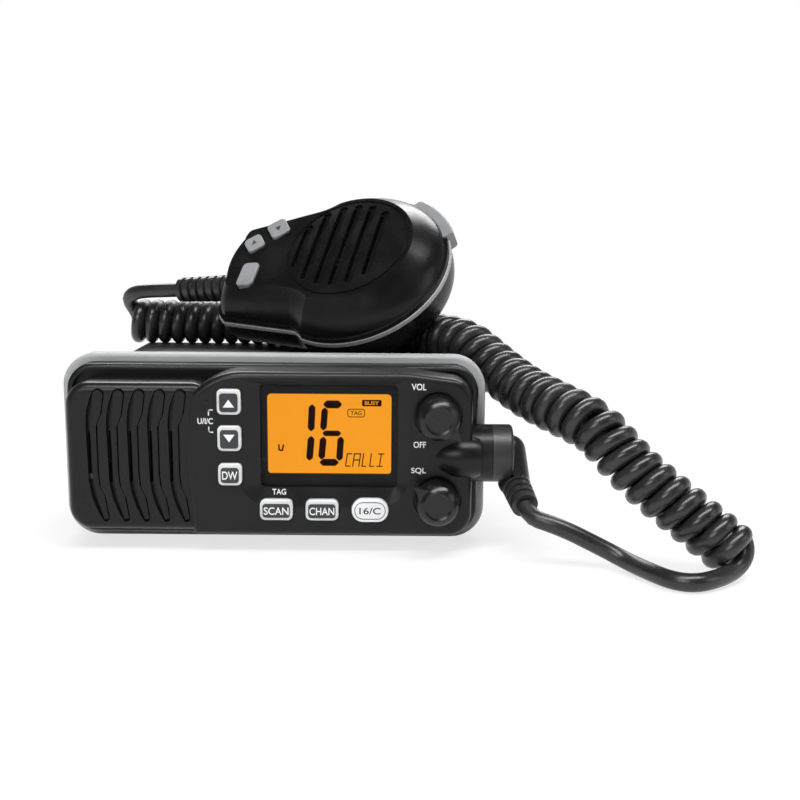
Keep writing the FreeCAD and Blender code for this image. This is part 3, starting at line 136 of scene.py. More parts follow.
# Bars of the channel number: x and z of each end and the width, in mm.
NUMBER_BARS = [
    (13.8, 48.2, 13.35, 39.5, 2.2), (13.45, 37.8, 12.75, 29.8, 2.2), (17.4, 48.3, 23.3, 48.3, 2.55),
    (17.9, 47.2, 17.3, 39.8, 2.1), (17.1, 38.8, 23.0, 38.8, 1.8), (17.35, 37.6, 16.65, 30.2, 2.15),
    (23.0, 37.7, 22.45, 29.8, 2.1), (16.15, 29.2, 22.2, 29.2, 2.3),
]
# Share of a bar's width that its bevelled corners take.
BAR_CORNER = 0.42
# Small letters of the display: left foot and width of each, and their top, foot and slant, in mm.
SMALL_LETTERS = [("C", 24.5, 1.4), ("A", 26.8, 2.0), ("L", 29.8, 1.2), ("L", 32.3, 1.2), ("I", 34.7, 1.6)]
LETTER_TOP, LETTER_FOOT, LETTER_SLANT = 32.1, 28.0, 0.55
# Framed words of the display in mm: middle, frame's width, height and rounding, word's height and width.
BUSY_MARK = (32.95, 48.8, 6.3, 2.1, 0.5, 1.25, 4.6)
TAG_MARK = (27.9, 45.5, 5.6, 2.8, 0.8, 1.35, 3.6)
TAG_LINE = 0.26
# Small cup-shaped mark of the display, and the widths of thin lines, in mm.
CUP_MARK = [(2.95, 34.8), (3.0, 33.3), (3.5, 33.05), (4.1, 33.2), (4.4, 34.8)]
THIN_LINE, CUP_LINE = 0.36, 0.5
# Height midway between the up and down keys, and the corner printed beside each: x, and z from there, in mm.
KEY_LINK_Z = 43.3
KEY_LINK = [(-17.7, 3.6), (-18.6, 3.6), (-18.9, 3.1), (-18.9, 2.0)]
# Each knob's body and the direction of its pointer, in degrees from the right.
KNOBS = {"volume_knob": ("volume", -42.0), "squelch_knob": ("squelch", 141.0)}
# Knob caps in mm: radius at the back and at the front, and width of the rounded shoulder.
CAP_SKIRT, CAP_TOP, CAP_SHOULDER = 7.1, 6.4, 1.8
# Dish in a cap's face in mm: flat lip round it, width of its slope, and depth.
DISH_LIP, DISH_SLOPE, DISH_DEPTH = 0.25, 0.7, 0.35
# Pointers in mm: distance from the knob's axis, step behind the cap's front, width, height and thickness.
POINTER_REACH, POINTER_STEP, POINTER_SIZE = 6.6, 0.9, (5.0, 4.6, 4.0)
# Arrows on the microphone's keys: body, place along and across and the face's height in mm, turn in degrees.
MIC_ARROWS = {
    "mic_key_up": ("mic_up", -29.6, 11.3, 12.58, -90.0),
    "mic_key_down": ("mic_down", -38.0, 5.0, 11.72, 90.0),
}
ARROW_WIDTH, ARROW_HEIGHT = 2.6, 1.9
# Lamps: setting that gives the power, share of that power, place, width and depth.
LAMPS = {
    "back_lamp": ("overhead", 1.0, (0.05, 1.05, 0.85), 1.3, 0.5),
    "front_lamp": ("front", 1.0, (-0.45, -1.1, 0.7), 0.7, 0.4),
    "side_lamp": ("front", 0.25, (1.1, -0.35, 0.45), 0.5, 0.6),
    "top_lamp": ("overhead", 0.9, (0.15, -0.3, 1.0), 1.2, 0.26),
}
LAMP_AIM = Vector((0.03, 0.0, 0.04))
# World light: range of height or depth of its direction, and the strength at either end.
WORLD_HEIGHT = {"From_Min": 0.05, "From_Max": 0.55, "To_Min": 0.85, "To_Max": 0.04}
WORLD_DEPTH = {"From_Min": -0.3, "From_Max": 0.5, "To_Min": 0.18, "To_Max": 1.0}
# Floor: its size, and where it turns to plain white, as distance from the middle and share of white.
FLOOR_SIZE = 12.0
FLOOR_WHITE = {"From_Min": 0.12, "From_Max": 0.55, "To_Min": 0.72, "To_Max": 1.0}
# Camera: place, pitch and roll.
CAMERA_PLACE = Vector((0.041976, -0.367127, 0.111795))
CAMERA_PITCH, CAMERA_ROLL = math.radians(10.0), 0.007474


# ------------------------------------------------------------------ settings a user would change
class RadioFinishSettings(bpy.types.PropertyGroup):
    plastic: bpy.props.FloatVectorProperty(
        name="Case plastic", description="Colour of the moulded front panel and microphone",
        default=(0.0085, 0.0086, 0.009), subtype="COLOR", min=0, max=1)
    ring: bpy.props.FloatVectorProperty(
        name="Ring rubber", description="Colour of the grey ring round the panel",
        default=(0.36, 0.365, 0.37), subtype="COLOR", min=0, max=1)
    amber: bpy.props.FloatVectorProperty(
        name="Display light", description="Colour of the lit display",
        default=(0.985, 0.36, 0.022), subtype="COLOR", min=0, max=1)
    digit: bpy.props.FloatVectorProperty(
        name="Display segments", description="Colour of the display's dark segments",
        default=(0.012, 0.002, 0.001), subtype="COLOR", min=0, max=1)
    button: bpy.props.FloatVectorProperty(
        name="Grey rubber", description="Colour of the microphone's keys and talk bar",
        default=(0.225, 0.23, 0.24), subtype="COLOR", min=0, max=1)


class RadioCordSettings(bpy.types.PropertyGroup):
    diameter: bpy.props.FloatProperty(
        name="Cord diameter", description="Outside diameter of the rubber cord",
        default=0.0056, min=0.003, max=0.008, subtype="DISTANCE", unit="LENGTH")
    coil_radius: bpy.props.FloatProperty(
        name="Coil radius", description="Radius of the coil at the middle of the cord",
        default=0.0059, min=0.003, max=0.01, subtype="DISTANCE", unit="LENGTH")
    pitch: bpy.props.FloatProperty(
        name="Pitch at the microphone",
        description="Distance from one turn to the next at the microphone's end",
        default=0.00545, min=0.004, max=0.02, subtype="DISTANCE", unit="LENGTH")
    end_pitch: bpy.props.FloatProperty(
        name="Pitch at the plug", description="Distance from one turn to the next at the plug's end",
        default=0.00595, min=0.004, max=0.02, subtype="DISTANCE", unit="LENGTH")


class RadioMarkSettings(bpy.types.PropertyGroup):
    ink: bpy.props.FloatVectorProperty(
        name="White ink", description="Colour of the printed marks on the panel and keys",
        default=(0.80, 0.81, 0.82), subtype="COLOR", min=0, max=1)
    thickness: bpy.props.FloatProperty(
        name="Ink thickness", description="How far a printed mark stands proud of its surface",
        default=0.00006, min=0.00002, max=0.0005, subtype="DISTANCE", unit="LENGTH")
    key_plate: bpy.props.FloatVectorProperty(
        name="Key plate", description="Colour of the dark plate in each key",
        default=(0.028, 0.029, 0.031), subtype="COLOR", min=0, max=1)
    key_rim: bpy.props.FloatProperty(
        name="Key rim", description="Width of the pale rim left round a key's dark plate",
        default=0.0009, min=0.0003, max=0.003, subtype="DISTANCE", unit="LENGTH")


class RadioStageSettings(bpy.types.PropertyGroup):
    floor: bpy.props.FloatVectorProperty(
        name="Floor", description="Colour of the floor and backdrop", default=(0.86, 0.86, 0.86),
        subtype="COLOR", min=0, max=1)
    overhead: bpy.props.FloatProperty(
        name="Overhead lamp", description="Power of the soft lamp above the radio", default=15.0,
        min=0, max=100, subtype="POWER", unit="POWER")
    front: bpy.props.FloatProperty(
        name="Front lamp", description="Power of the soft lamp in front of the radio", default=6.0,
        min=0, max=100, subtype="POWER", unit="POWER")


# ------------------------------------------------------------------ material helpers
def new_material(name):
    """Empty node material with its output and one principled shader."""
    material = bpy.data.materials.new(name)
    material.use_nodes = True
    return material, material.node_tree.nodes["Principled BSDF"]


def link(owner, source, output, target, socket):
    owner.node_tree.links.new(source.outputs[output], target.inputs[socket])


def add_node(owner, kind, **values):
    """Node of a material or world, with its inputs set; an underscore in a name stands for a space."""
    node = owner.node_tree.nodes.new(kind)
    for name, value in values.items():
        node.inputs[name.replace("_", " ")].default_value = value
    return node


def maths(owner, operation, *sources):
    """Math node fed by pairs of a node and its output."""
    node = add_node(owner, "ShaderNodeMath")
    node.operation = operation
    for i, (source, output) in enumerate(sources):
        link(owner, source, output, node, i)
    return node


def mix_shaders(owner, share, first, second, target):
    """Mixes two shaders by a share, each a pair of a node and its output, and feeds the target node."""
    mix = add_node(owner, "ShaderNodeMixShader")
    for socket, (source, output) in zip(("Fac", 1, 2), (share, first, second)):
        link(owner, source, output, mix, socket)
    link(owner, mix, "Shader", owner.node_tree.nodes[target], "Surface")


def ramp(material, source, output, shader, socket, *stops):
    """Feeds a colour socket through a ramp between two stops, each a place and a colour."""
    node = add_node(material, "ShaderNodeValToRGB")
    for element, (place, colour) in zip(node.color_ramp.elements, stops):
        element.position, element.color = place, (*colour[:3], 1)
    link(material, source, output, node, "Fac")
    link(material, node, "Color", shader, socket)


def object_noise(material, scale, detail=3.0, stretch=(1, 1, 1)):
    """Noise that follows the piece's own coordinates; stretch squeezes it along an axis."""
    coords = add_node(material, "ShaderNodeTexCoord")
    mapping = add_node(material, "ShaderNodeMapping", Scale=stretch)
    noise = add_node(material, "ShaderNodeTexNoise", Scale=scale, Detail=detail)
    link(material, coords, "Object", mapping, "Vector")
    link(material, mapping, "Vector", noise, "Vector")
    return noise


def vary(material, noise, target, socket, low, high):
    """Feeds a socket with the noise, spread from low to high."""
    spread = add_node(material, "ShaderNodeMapRange", From_Min=0.3, From_Max=0.7, To_Min=low, To_Max=high)
    link(material, noise, "Fac", spread, "Value")
    link(material, spread, "Result", target, socket)


def tint(material, noise, shader, colour, share):
    """Base colour that drifts a little either side of colour."""
    low, high = [c * (1 - share) for c in colour[:3]], [min(1, c * (1 + share)) for c in colour[:3]]
    ramp(material, noise, "Fac", shader, "Base Color", (0.35, low), (0.65, high))


def bump(material, noise, shader, strength, distance):
    node = add_node(material, "ShaderNodeBump", Strength=strength, Distance=distance)
    link(material, noise, "Fac", node, "Height")
    link(material, node, "Normal", shader, "Normal")


def moulded(name, colour, roughness, grain=2600.0, grain_depth=0.00003, share=0.12, specular=0.5):
    """Moulded plastic or rubber: fine moulded grain, slight drift in colour and gloss."""
    material, shader = new_material(name)
    shader.inputs["Specular IOR Level"].default_value = specular
    drift = object_noise(material, 90.0)
    fine = object_noise(material, grain, 2.0)
    tint(material, drift, shader, colour, share)
    vary(material, drift, shader, "Roughness", roughness - GLOSS_DRIFT, roughness + GLOSS_DRIFT)
    bump(material, fine, shader, 0.5, grain_depth)
    return material


def metal(name, colour, roughness, stretch, scale=900.0):
    """Metal with fine drawn or turned lines along one axis."""
    material, shader = new_material(name)
    shader.inputs["Metallic"].default_value = 1.0
    lines = object_noise(material, scale, 4.0, stretch)
    tint(material, lines, shader, colour, 0.12)
    vary(material, lines, shader, "Roughness", roughness * 0.7, roughness * 1.3)
    bump(material, lines, shader, 0.3, 0.00002)
    return material


# ------------------------------------------------------------------ finishes
def chosen():
    """The finish settings that a user can change."""
    return bpy.context.scene.radio_finish


def panel_plastic():
    return moulded("satin_panel_plastic", chosen().plastic, 0.32, specular=0.26)


def mic_plastic():
    # Painted shade: the microphone's plastic is the shared case colour at 0.6, a darker copy standing in for
    # the dim light that its upturned face reflects from overhead.
    return moulded("microphone_plastic_with_painted_shade", [c * 0.6 for c in chosen().plastic], 0.28, specular=0.24)


def ring_rubber():
    return moulded("grey_ring_rubber", chosen().ring, 0.6, share=0.06)


def black_rubber():
    return moulded("black_seal_rubber", (0.02, 0.02, 0.021), 0.7, grain=1500.0)


def cord_rubber():
    return moulded("satin_cord_rubber", (0.02, 0.02, 0.021), 0.3, grain=1800.0, share=0.2)


def plug_plastic():
    return moulded("satin_plug_plastic", (0.022, 0.022, 0.023), 0.38)


def socket_plastic():
    return moulded("socket_plastic", (0.02, 0.02, 0.021), 0.5)


def cast_paint():
    return moulded("satin_cast_paint", (0.022, 0.0225, 0.0235), 0.48, grain=1300.0, grain_depth=0.00008)


def knob_plastic():
    return moulded("satin_knob_plastic", (0.009, 0.0092, 0.0096), 0.24, specular=0.36)


def clear_key():
    material = moulded("translucent_key_rim", (0.66, 0.67, 0.68), 0.2, grain=700.0, share=0.05)
    shader = material.node_tree.nodes["Principled BSDF"]
    shader.inputs["Subsurface Weight"].default_value = 0.3
    shader.inputs["Subsurface Scale"].default_value = 0.001
    return material


def white_key():
    return moulded("white_key", (0.80, 0.81, 0.82), 0.3, grain=700.0, share=0.03)


def grey_button():
    return moulded("grey_button_rubber", chosen().button, 0.5, share=0.08)


def display_glass():
    """Lit liquid-crystal glass: even amber light with a slight fall-off and a fine pixel-like grain."""
    material, shader = new_material("lit_display_glass")
    glow = object_noise(material, 25.0)
    amber = chosen().amber
    ramp(material, glow, "Fac", shader, "Emission Color", (0.3, [c * 0.95 for c in amber]), (0.7, amber))
    shader.inputs["Emission Strength"].default_value = 0.97
    shader.inputs["Base Color"].default_value = (0.0, 0.0, 0.0, 1)
    shader.inputs["Roughness"].default_value = 0.4
    shader.inputs["Specular IOR Level"].default_value = 0.0
    return material


def back_light():
    return moulded("diffusing_light_panel", (0.85, 0.70, 0.40), 0.4, share=0.04)


def window_clear():
    """Clear window: see-through, with a reflection that grows towards grazing angles."""
    material, shader = new_material("clear_window")
    material.node_tree.nodes.remove(shader)
    clear = add_node(material, "ShaderNodeBsdfTransparent")
    gloss = add_node(material, "ShaderNodeBsdfGlossy", Roughness=0.06)
    fresnel = add_node(material, "ShaderNodeFresnel", IOR=1.08)
    vary(material, object_noise(material, 60.0), gloss, "Roughness", 0.04, 0.1)
    mix_shaders(material, (fresnel, "Fac"), (clear, "BSDF"), (gloss, "BSDF"), "Material Output")
    return material


def circuit_board():
    """Green solder mask over etched tracks."""
    material, shader = new_material("circuit_board")
    coords = add_node(material, "ShaderNodeTexCoord")
    tracks = add_node(material, "ShaderNodeTexVoronoi", Scale=380.0)
    link(material, coords, "Object", tracks, "Vector")
    ramp(material, tracks, "Distance", shader, "Base Color",
         (0.1, (0.03, 0.20, 0.08)), (0.16, (0.012, 0.09, 0.035)))
    shader.inputs["Roughness"].default_value = 0.35
    return material


def pot_metal():
    return metal("drawn_pot_metal", (0.60, 0.60, 0.62), 0.35, (1, 8, 1))


def shaft_metal():
    return metal("turned_shaft_metal", (0.65, 0.65, 0.66), 0.25, (1, 20, 1))


def plated_steel():
    return metal("plated_steel", (0.55, 0.55, 0.57), 0.3, (6, 6, 1))


def pressed_can():
    return metal("pressed_aluminium", (0.62, 0.63, 0.64), 0.32, (1, 6, 1))


def nickel():
    return metal("bright_nickel", (0.70, 0.69, 0.66), 0.16, (1, 12, 1), 500.0)


def speaker_film():
    return moulded("pressed_speaker_film", (0.03, 0.03, 0.031), 0.45, grain=600.0)


def ground_magnet():
    return metal("ground_magnet", (0.14, 0.14, 0.15), 0.5, (6, 1, 6))


FINISHES = {
    "panel_plastic": panel_plastic, "trim_rubber": ring_rubber, "seal_rubber": black_rubber,
    "window_clear": window_clear, "display_glass": display_glass, "backlight": back_light,
    "board": circuit_board, "pot_metal": pot_metal, "knob_plastic": knob_plastic,
    "shaft_metal": shaft_metal, "steel": plated_steel, "speaker_cone": speaker_film,
    "magnet": ground_magnet, "socket_plastic": socket_plastic, "chassis_paint": cast_paint,
    "module_metal": pressed_can, "nickel": nickel, "plug_plastic": plug_plastic,
    "cord_rubber": cord_rubber, "key_clear": clear_key, "key_white": white_key,
    "mic_plastic": mic_plastic, "grey_button": grey_button,
}


def slot_material(slot):
    """The one material of a slot of the record, made when it is first asked for."""
    key = "slot_" + slot
    found = bpy.context.scene.get(key)
    if found:
        return bpy.data.materials[found]
    material = FINISHES[slot]()
    bpy.context.scene[key] = material.name
    return material


def dress(names):
    """Gives CAD nodes their slot's finish."""
    for name in names:
        for place in NODES[name].material_slots:
            place.material = slot_material(SLOT_OF[name])


def shared_material(name, make, *values, **options):
    """A material that several operators use, made when it is first asked for."""
    return bpy.data.materials.get(name) or make(name, *values, **options)


def flat_ink(name, colour, roughness, share, specular=0.5):
    """Printed ink or film with hardly any grain."""
    return shared_material(name, moulded, colour, roughness, 900.0, 0.00001, share, specular=specular)


def white_ink():
    return flat_ink("white_ink", bpy.context.scene.radio_marks.ink, 0.5, 0.04)


def dark_ink():
    return flat_ink("dark_ink", (0.03, 0.031, 0.033), 0.5, 0.1)


def segment_ink():
    return flat_ink("display_segments", chosen().digit, 0.6, 0.1, specular=0.05)


def window_print():
    return flat_ink("window_print", (0.008, 0.0085, 0.0095), 0.4, 0.1, specular=0.12)


# ------------------------------------------------------------------ modelling helpers
def start_clean():
    """Leaves edit mode and deselects everything, so that an operator acts on new pieces only."""
    if bpy.context.object and bpy.context.object.mode != "OBJECT":
        bpy.ops.object.mode_set(mode="OBJECT")
    bpy.ops.object.select_all(action="DESELECT")


def join(pieces):
    start_clean()
    for piece in pieces:
        piece.select_set(True)
    bpy.context.view_layer.objects.active = pieces[0]
    if len(pieces) > 1:
        bpy.ops.object.join()
    return bpy.context.view_layer.objects.active


def finish_piece(pieces, name, body, material):
    """Joins pieces into one, puts its place into its mesh, gives it its material and its body."""
    start_clean()
    for piece in pieces:
        piece.select_set(True)
    bpy.context.view_layer.objects.active = pieces[0]
    bpy.ops.object.transform_apply(location=True, rotation=True, scale=True)
    piece = join(pieces)
    piece.name = name
    piece.data.name = name
    piece.data.materials.clear()
    piece.data.materials.append(material)
    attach(piece, body)
    return piece


def thicken(thickness):
    """Gives the flat faces being edited a thickness towards the back."""
    bpy.ops.mesh.select_all(action="SELECT")
    bpy.ops.mesh.extrude_region_move(TRANSFORM_OT_translate={"value": (0, thickness, 0)})
    bpy.ops.mesh.select_all(action="SELECT")
    bpy.ops.mesh.normals_make_consistent(inside=False)
    bpy.ops.object.mode_set(mode="OBJECT")
    return bpy.context.object


def plate(x, z, y, width, height, thickness, corner=0.0, steps=5, turn=0.0, band=0.0):
    """Upright plate round (x, z) with its front at depth y; a band leaves only a rim of that width."""
    start_clean()
    bpy.ops.mesh.primitive_plane_add(size=1.0, location=(x, y, z), rotation=(math.pi / 2, turn, 0))
    bpy.context.object.scale = (width, height, 1.0)
    bpy.ops.object.transform_apply(location=False, rotation=False, scale=True)
    bpy.ops.object.mode_set(mode="EDIT")
    bpy.ops.mesh.select_all(action="SELECT")
    if corner:
        bpy.ops.mesh.bevel(offset=corner, segments=steps, affect="VERTICES")
        bpy.ops.mesh.select_all(action="SELECT")
    if band:
        bpy.ops.mesh.inset(thickness=band)
        bpy.ops.mesh.delete(type="FACE")
    return thicken(thickness)


def area_plate(area, y, thickness):
    """Upright plate over an area given by its left, right, bottom, top and rounding in mm."""
    left, right, low, high, corner = [value * MM for value in area]
    return plate((left + right) / 2, (low + high) / 2, y, right - left, high - low, thickness, corner)


def cut_out(piece, hole):
    """Cuts one piece's shape out of another and removes the first."""
    start_clean()
    piece.select_set(True)
    bpy.context.view_layer.objects.active = piece
    bpy.ops.object.modifier_add(type="BOOLEAN")
    cut = piece.modifiers[-1]
    cut.object, cut.operation, cut.solver = hole, "DIFFERENCE", "EXACT"
    bpy.ops.object.modifier_apply(modifier=cut.name)
    bpy.data.objects.remove(hole)
    return piece


def arrow_head(x, z, y, width, height, thickness, turn=0.0):
    """Upright triangle round (x, z) that points up before its turn."""
    start_clean()
    bpy.ops.mesh.primitive_circle_add(vertices=3, radius=1.0, fill_type="NGON", location=(x, y, z),
                                      rotation=(math.pi / 2, turn, 0))
    bpy.context.object.scale = (width / math.sqrt(3), height / 1.5, 1.0)
    bpy.ops.object.transform_apply(location=False, rotation=False, scale=True)
    bpy.ops.object.mode_set(mode="EDIT")
    return thicken(thickness)


def stroke(x0, z0, x1, z1, y, width, thickness, past=1.0, **shape):
    """Straight line of ink between two points, in mm; past says how many widths are added to its length."""
    length = math.hypot(x1 - x0, z1 - z0) + past * width
    return plate((x0 + x1) / 2 * MM, (z0 + z1) / 2 * MM, y, width * MM, length * MM, thickness,
                 turn=math.atan2(x1 - x0, z1 - z0), **shape)


def strokes(points, y, width, thickness):
    return [stroke(*a, *b, y, width, thickness) for a, b in zip(points, points[1:])]


def words(text, x, z, y, height, width, thickness):
    """Upright words round (x, z), as tall as height and as wide as width."""
    start_clean()
    bpy.ops.object.text_add(location=(0, 0, 0))
    line = bpy.context.object
    line.data.body = text
    line.data.size = 1.0
    line.data.align_x = "CENTER"
    line.data.align_y = "CENTER"
    line.data.offset = 0.012
    line.data.extrude = 0.5
    bpy.ops.object.convert(target="MESH")
    line = bpy.context.object
    low, high = mesh_span(line)
    bpy.ops.object.mode_set(mode="EDIT")
    bpy.ops.mesh.select_all(action="SELECT")
    bpy.ops.mesh.remove_doubles(threshold=0.0005)
    bpy.ops.transform.translate(value=tuple(-(low + high) / 2))
    bpy.ops.object.mode_set(mode="OBJECT")
    line.scale = (width / (high.x - low.x), height / (high.y - low.y), thickness / (high.z - low.z))
    line.rotation_euler = (math.pi / 2, 0, 0)
    line.location = (x, y + thickness / 2, z)
    return line


def mesh_span(piece):
    """Lowest and highest corner of a mesh in its own coordinates."""
    corners = [vertex.co for vertex in piece.data.vertices]
    return (Vector([min(c[i] for c in corners) for i in range(3)]),
            Vector([max(c[i] for c in corners) for i in range(3)]))


def pick_top():
    """Selects the highest face, in its own coordinates, of the piece being edited."""
    bpy.ops.mesh.select_all(action="DESELECT")
    bpy.ops.object.mode_set(mode="OBJECT")
    top = max(bpy.context.object.data.polygons, key=lambda face: face.center.z)
    top.select = True
    bpy.ops.object.mode_set(mode="EDIT")


def knob_cap(x, z, front, back):
    """Tapered round knob with a broad rounded shoulder and a shallow dish in its face."""
    start_clean()
    bpy.ops.mesh.primitive_cone_add(
        vertices=96, radius1=CAP_SKIRT * MM, radius2=CAP_TOP * MM, depth=back - front,
        location=(x, (front + back) / 2, z), rotation=(math.pi / 2, 0, 0))
    bpy.ops.object.mode_set(mode="EDIT")
    bpy.ops.mesh.select_mode(type="FACE")
    pick_top()
    bpy.ops.mesh.bevel(offset=CAP_SHOULDER * MM, segments=3, profile=0.32, affect="EDGES")
    pick_top()
    bpy.ops.mesh.inset(thickness=DISH_LIP * MM)
    bpy.ops.mesh.inset(thickness=DISH_SLOPE * MM)
    bpy.ops.transform.translate(value=(0, DISH_DEPTH * MM, 0))
    bpy.ops.mesh.select_mode(type="VERT")
    bpy.ops.object.mode_set(mode="OBJECT")
    bpy.ops.object.shade_smooth_by_angle(angle=math.radians(25))
    return bpy.context.object


def onto_microphone(pieces):
    """Moves pieces made upright, with their front at minus their height, onto the microphone's face."""
    bpy.context.view_layer.update()
    turn = Matrix((MIC_LONG, -MIC_FACE, MIC_ACROSS)).transposed().to_4x4()
    for piece in pieces:
        piece.matrix_world = Matrix.Translation(MIC_PLACE) @ turn @ piece.matrix_world
    return pieces


def small_letter(letter, foot, wide):
    """Lines of one small slanted letter of the display, in mm."""
    high, low, head = LETTER_TOP, LETTER_FOOT, foot + LETTER_SLANT
    knee, middle = foot + LETTER_SLANT / 2, (high + low) / 2
    if letter == "C":
        return [[(head + wide, high), (head + 0.2, high), (head, high - 0.2), (foot, low + 0.2),
                 (foot + 0.2, low), (foot + wide, low)]]
    if letter == "A":
        return [[(foot, low), (head, high), (head + wide, high), (foot + wide, low)],
                [(knee, middle), (knee + wide, middle)]]
    if letter == "L":
        return [[(head, high), (foot, low), (foot + wide, low)]]
    return [[(head, high), (head + wide, high)], [(foot, low), (foot + wide, low)],
            [(head + wide / 2, high), (foot + wide / 2, low)]]


# ------------------------------------------------------------------ cord
def smooth_line(points, resolution):
    """Points down the middle of the smooth spline that has points as its control points."""
    curve = route_curve("route", points, resolution)
    holder = bpy.data.objects.new("route", curve)
    mesh = bpy.data.meshes.new_from_object(holder)
    line = [vertex.co.copy() for vertex in mesh.vertices]
    bpy.data.meshes.remove(mesh)
    bpy.data.objects.remove(holder)
    bpy.data.curves.remove(curve)
    return line


def route_curve(name, points, resolution):
    curve = bpy.data.curves.new(name, "CURVE")
    curve.dimensions = "3D"
    curve.resolution_u = resolution
    spline = curve.splines.new("NURBS")
    spline.points.add(len(points) - 1)
    for place, point in zip(spline.points, points):
        place.co = (*point, 1.0)
    spline.order_u = 3
    spline.use_endpoint_u = True
    return curve


def distances(line):
    """Distance along the line at each of its points."""
    along = [0.0]
    for a, b in zip(line, line[1:]):
        along.append(along[-1] + (b - a).length)
    return along


def at_distance(line, along, distance):
    """Point and direction at a distance along a line."""
    i = 1
    while i < len(line) - 1 and along[i] < distance:
        i += 1
    share = (distance - along[i - 1]) / (along[i] - along[i - 1])
    return line[i - 1].lerp(line[i], share), (line[i] - line[i - 1]).normalized()


def helix_points(axis_line, radius, pitch, end_pitch, start_angle, end_angle, per_turn=14):
    """Left-hand helix round a line: its front strand rises along the line. Angles are from the top."""
    along = distances(axis_line)
    growth = end_pitch / pitch
    turns = round(along[-1] * math.log(growth) / (end_pitch - pitch))
    sweep = math.tau * turns + start_angle - end_angle
    steps = round(sweep / math.tau * per_turn)
    control_radius = radius / math.cos(math.pi / per_turn) ** 2
    points = []
    for i in range(steps + 1):
        share = (growth ** (i / steps) - 1) / (growth - 1)
        centre, ahead = at_distance(axis_line, along, along[-1] * share)
        side = ahead.cross(Vector((0, 0, 1))).normalized()
        up = side.cross(ahead)
        angle = start_angle - sweep * i / steps
        points.append(centre + control_radius * (math.cos(angle) * up + math.sin(angle) * side))
    return points


def cord_tube(points, diameter, resolution):
    """Round tube along the smooth line through the control points."""
    curve = route_curve("curly_cord", points, resolution)
    curve.bevel_depth = diameter / 2
    curve.bevel_resolution = 5
    curve.use_fill_caps = True
    holder = bpy.data.objects.new("curly_cord", curve)
    mesh = bpy.data.meshes.new_from_object(holder)
    bpy.data.objects.remove(holder)
    bpy.data.curves.remove(curve)
    mesh.shade_smooth()
    tube = bpy.data.objects.new("curly_cord", mesh)
    bpy.context.scene.collection.objects.link(tube)
    return tube


# ------------------------------------------------------------------ operators
class RADIO_OT_finish_front(bpy.types.Operator):
    """Finishes the front panel, its ring, window, display and loudspeaker"""
    bl_idname = "radio.finish_front"
    bl_label = "Finish front panel"

    def execute(self, context):
        dress(["front_panel", "trim_ring", "panel_seal", "display_window", "display_glass",
               "display_backlight", "key_membrane", "front_board", "volume_pot", "squelch_pot",
               "speaker_basket", "speaker_cone", "speaker_magnet", "mic_socket", "panel_screws"])
        return {"FINISHED"}


class RADIO_OT_finish_controls(bpy.types.Operator):
    """Finishes the two knobs with their shafts, and the six keys"""
    bl_idname = "radio.finish_controls"
    bl_label = "Finish knobs and keys"

    def execute(self, context):
        dress(["volume_knob", "volume_shaft", "squelch_knob", "squelch_shaft"])
        dress(["key_up", "key_down", "key_watch", "key_scan", "key_channel", "key_priority"])
        return {"FINISHED"}


class RADIO_OT_knob_caps(bpy.types.Operator):
    """Adds the two knobs' round caps with their pointers"""
    bl_idname = "radio.knob_caps"
    bl_label = "Add knob caps"

    def execute(self, context):
        for name, (body, turn) in KNOBS.items():
            axis_low, axis_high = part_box(name.replace("knob", "shaft"))
            x, z = (axis_low[0] + axis_high[0]) / 2, (axis_low[2] + axis_high[2]) / 2
            low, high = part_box(name)
            angle, reach = math.radians(turn), POINTER_REACH * MM
            width, height, thickness = [size * MM for size in POINTER_SIZE]
            tip = arrow_head(x + reach * math.cos(angle), z + reach * math.sin(angle),
                             low[1] + POINTER_STEP * MM, width, height, thickness, turn=math.pi / 2 - angle)
            cap = finish_piece([knob_cap(x, z, low[1], high[1]), tip], name + "_cap", body,
                               slot_material("knob_plastic"))
            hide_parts(name)
        return {"FINISHED"}


class RADIO_OT_finish_case(bpy.types.Operator):
    """Finishes the chassis, its cover, boards and rear connections"""
    bl_idname = "radio.finish_case"
    bl_label = "Finish case"

    def execute(self, context):
        dress(["chassis", "bottom_cover", "cover_seal", "cover_screws", "main_board", "board_screws",
               "power_module", "shield_can", "antenna_socket", "power_gland", "accessory_gland"])
        return {"FINISHED"}


class RADIO_OT_finish_microphone(bpy.types.Operator):
    """Finishes the hand microphone and the plug"""
    bl_idname = "radio.finish_microphone"
    bl_label = "Finish microphone and plug"

    def execute(self, context):
        dress(["mic_front_shell", "mic_rear_shell", "mic_seal", "mic_grille", "mic_board", "mic_capsule",
               "ptt_switch", "mic_boot", "hanger_button", "mic_screws", "mic_key_up", "mic_key_down",
               "mic_key_power", "ptt_button", "plug_insert", "plug_collar", "plug_boot", "mic_lead",
               "cord_coil", "plug_lead"])
        return {"FINISHED"}


class RADIO_OT_add_cord(bpy.types.Operator):
    """Adds the curly cord from the microphone to the plug"""
    bl_idname = "radio.add_cord"
    bl_label = "Add curly cord"

    def execute(self, context):
        cord = context.scene.radio_cord
        axis_line = smooth_line(COIL, AXIS_STEPS)
        coil = helix_points(axis_line, cord.coil_radius, cord.pitch, cord.end_pitch, COIL_START, COIL_END)
        points = MIC_LEAD + [tuple(p) for p in coil] + PLUG_LEAD
        middle = smooth_line(points, CORD_STEPS)
        tube = cord_tube(points, cord.diameter, CORD_STEPS)
        tube.data.materials.append(slot_material("cord_rubber"))
        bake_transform(tube)
        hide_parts("mic_lead", "cord_coil", "plug_lead")
        return {"FINISHED"}


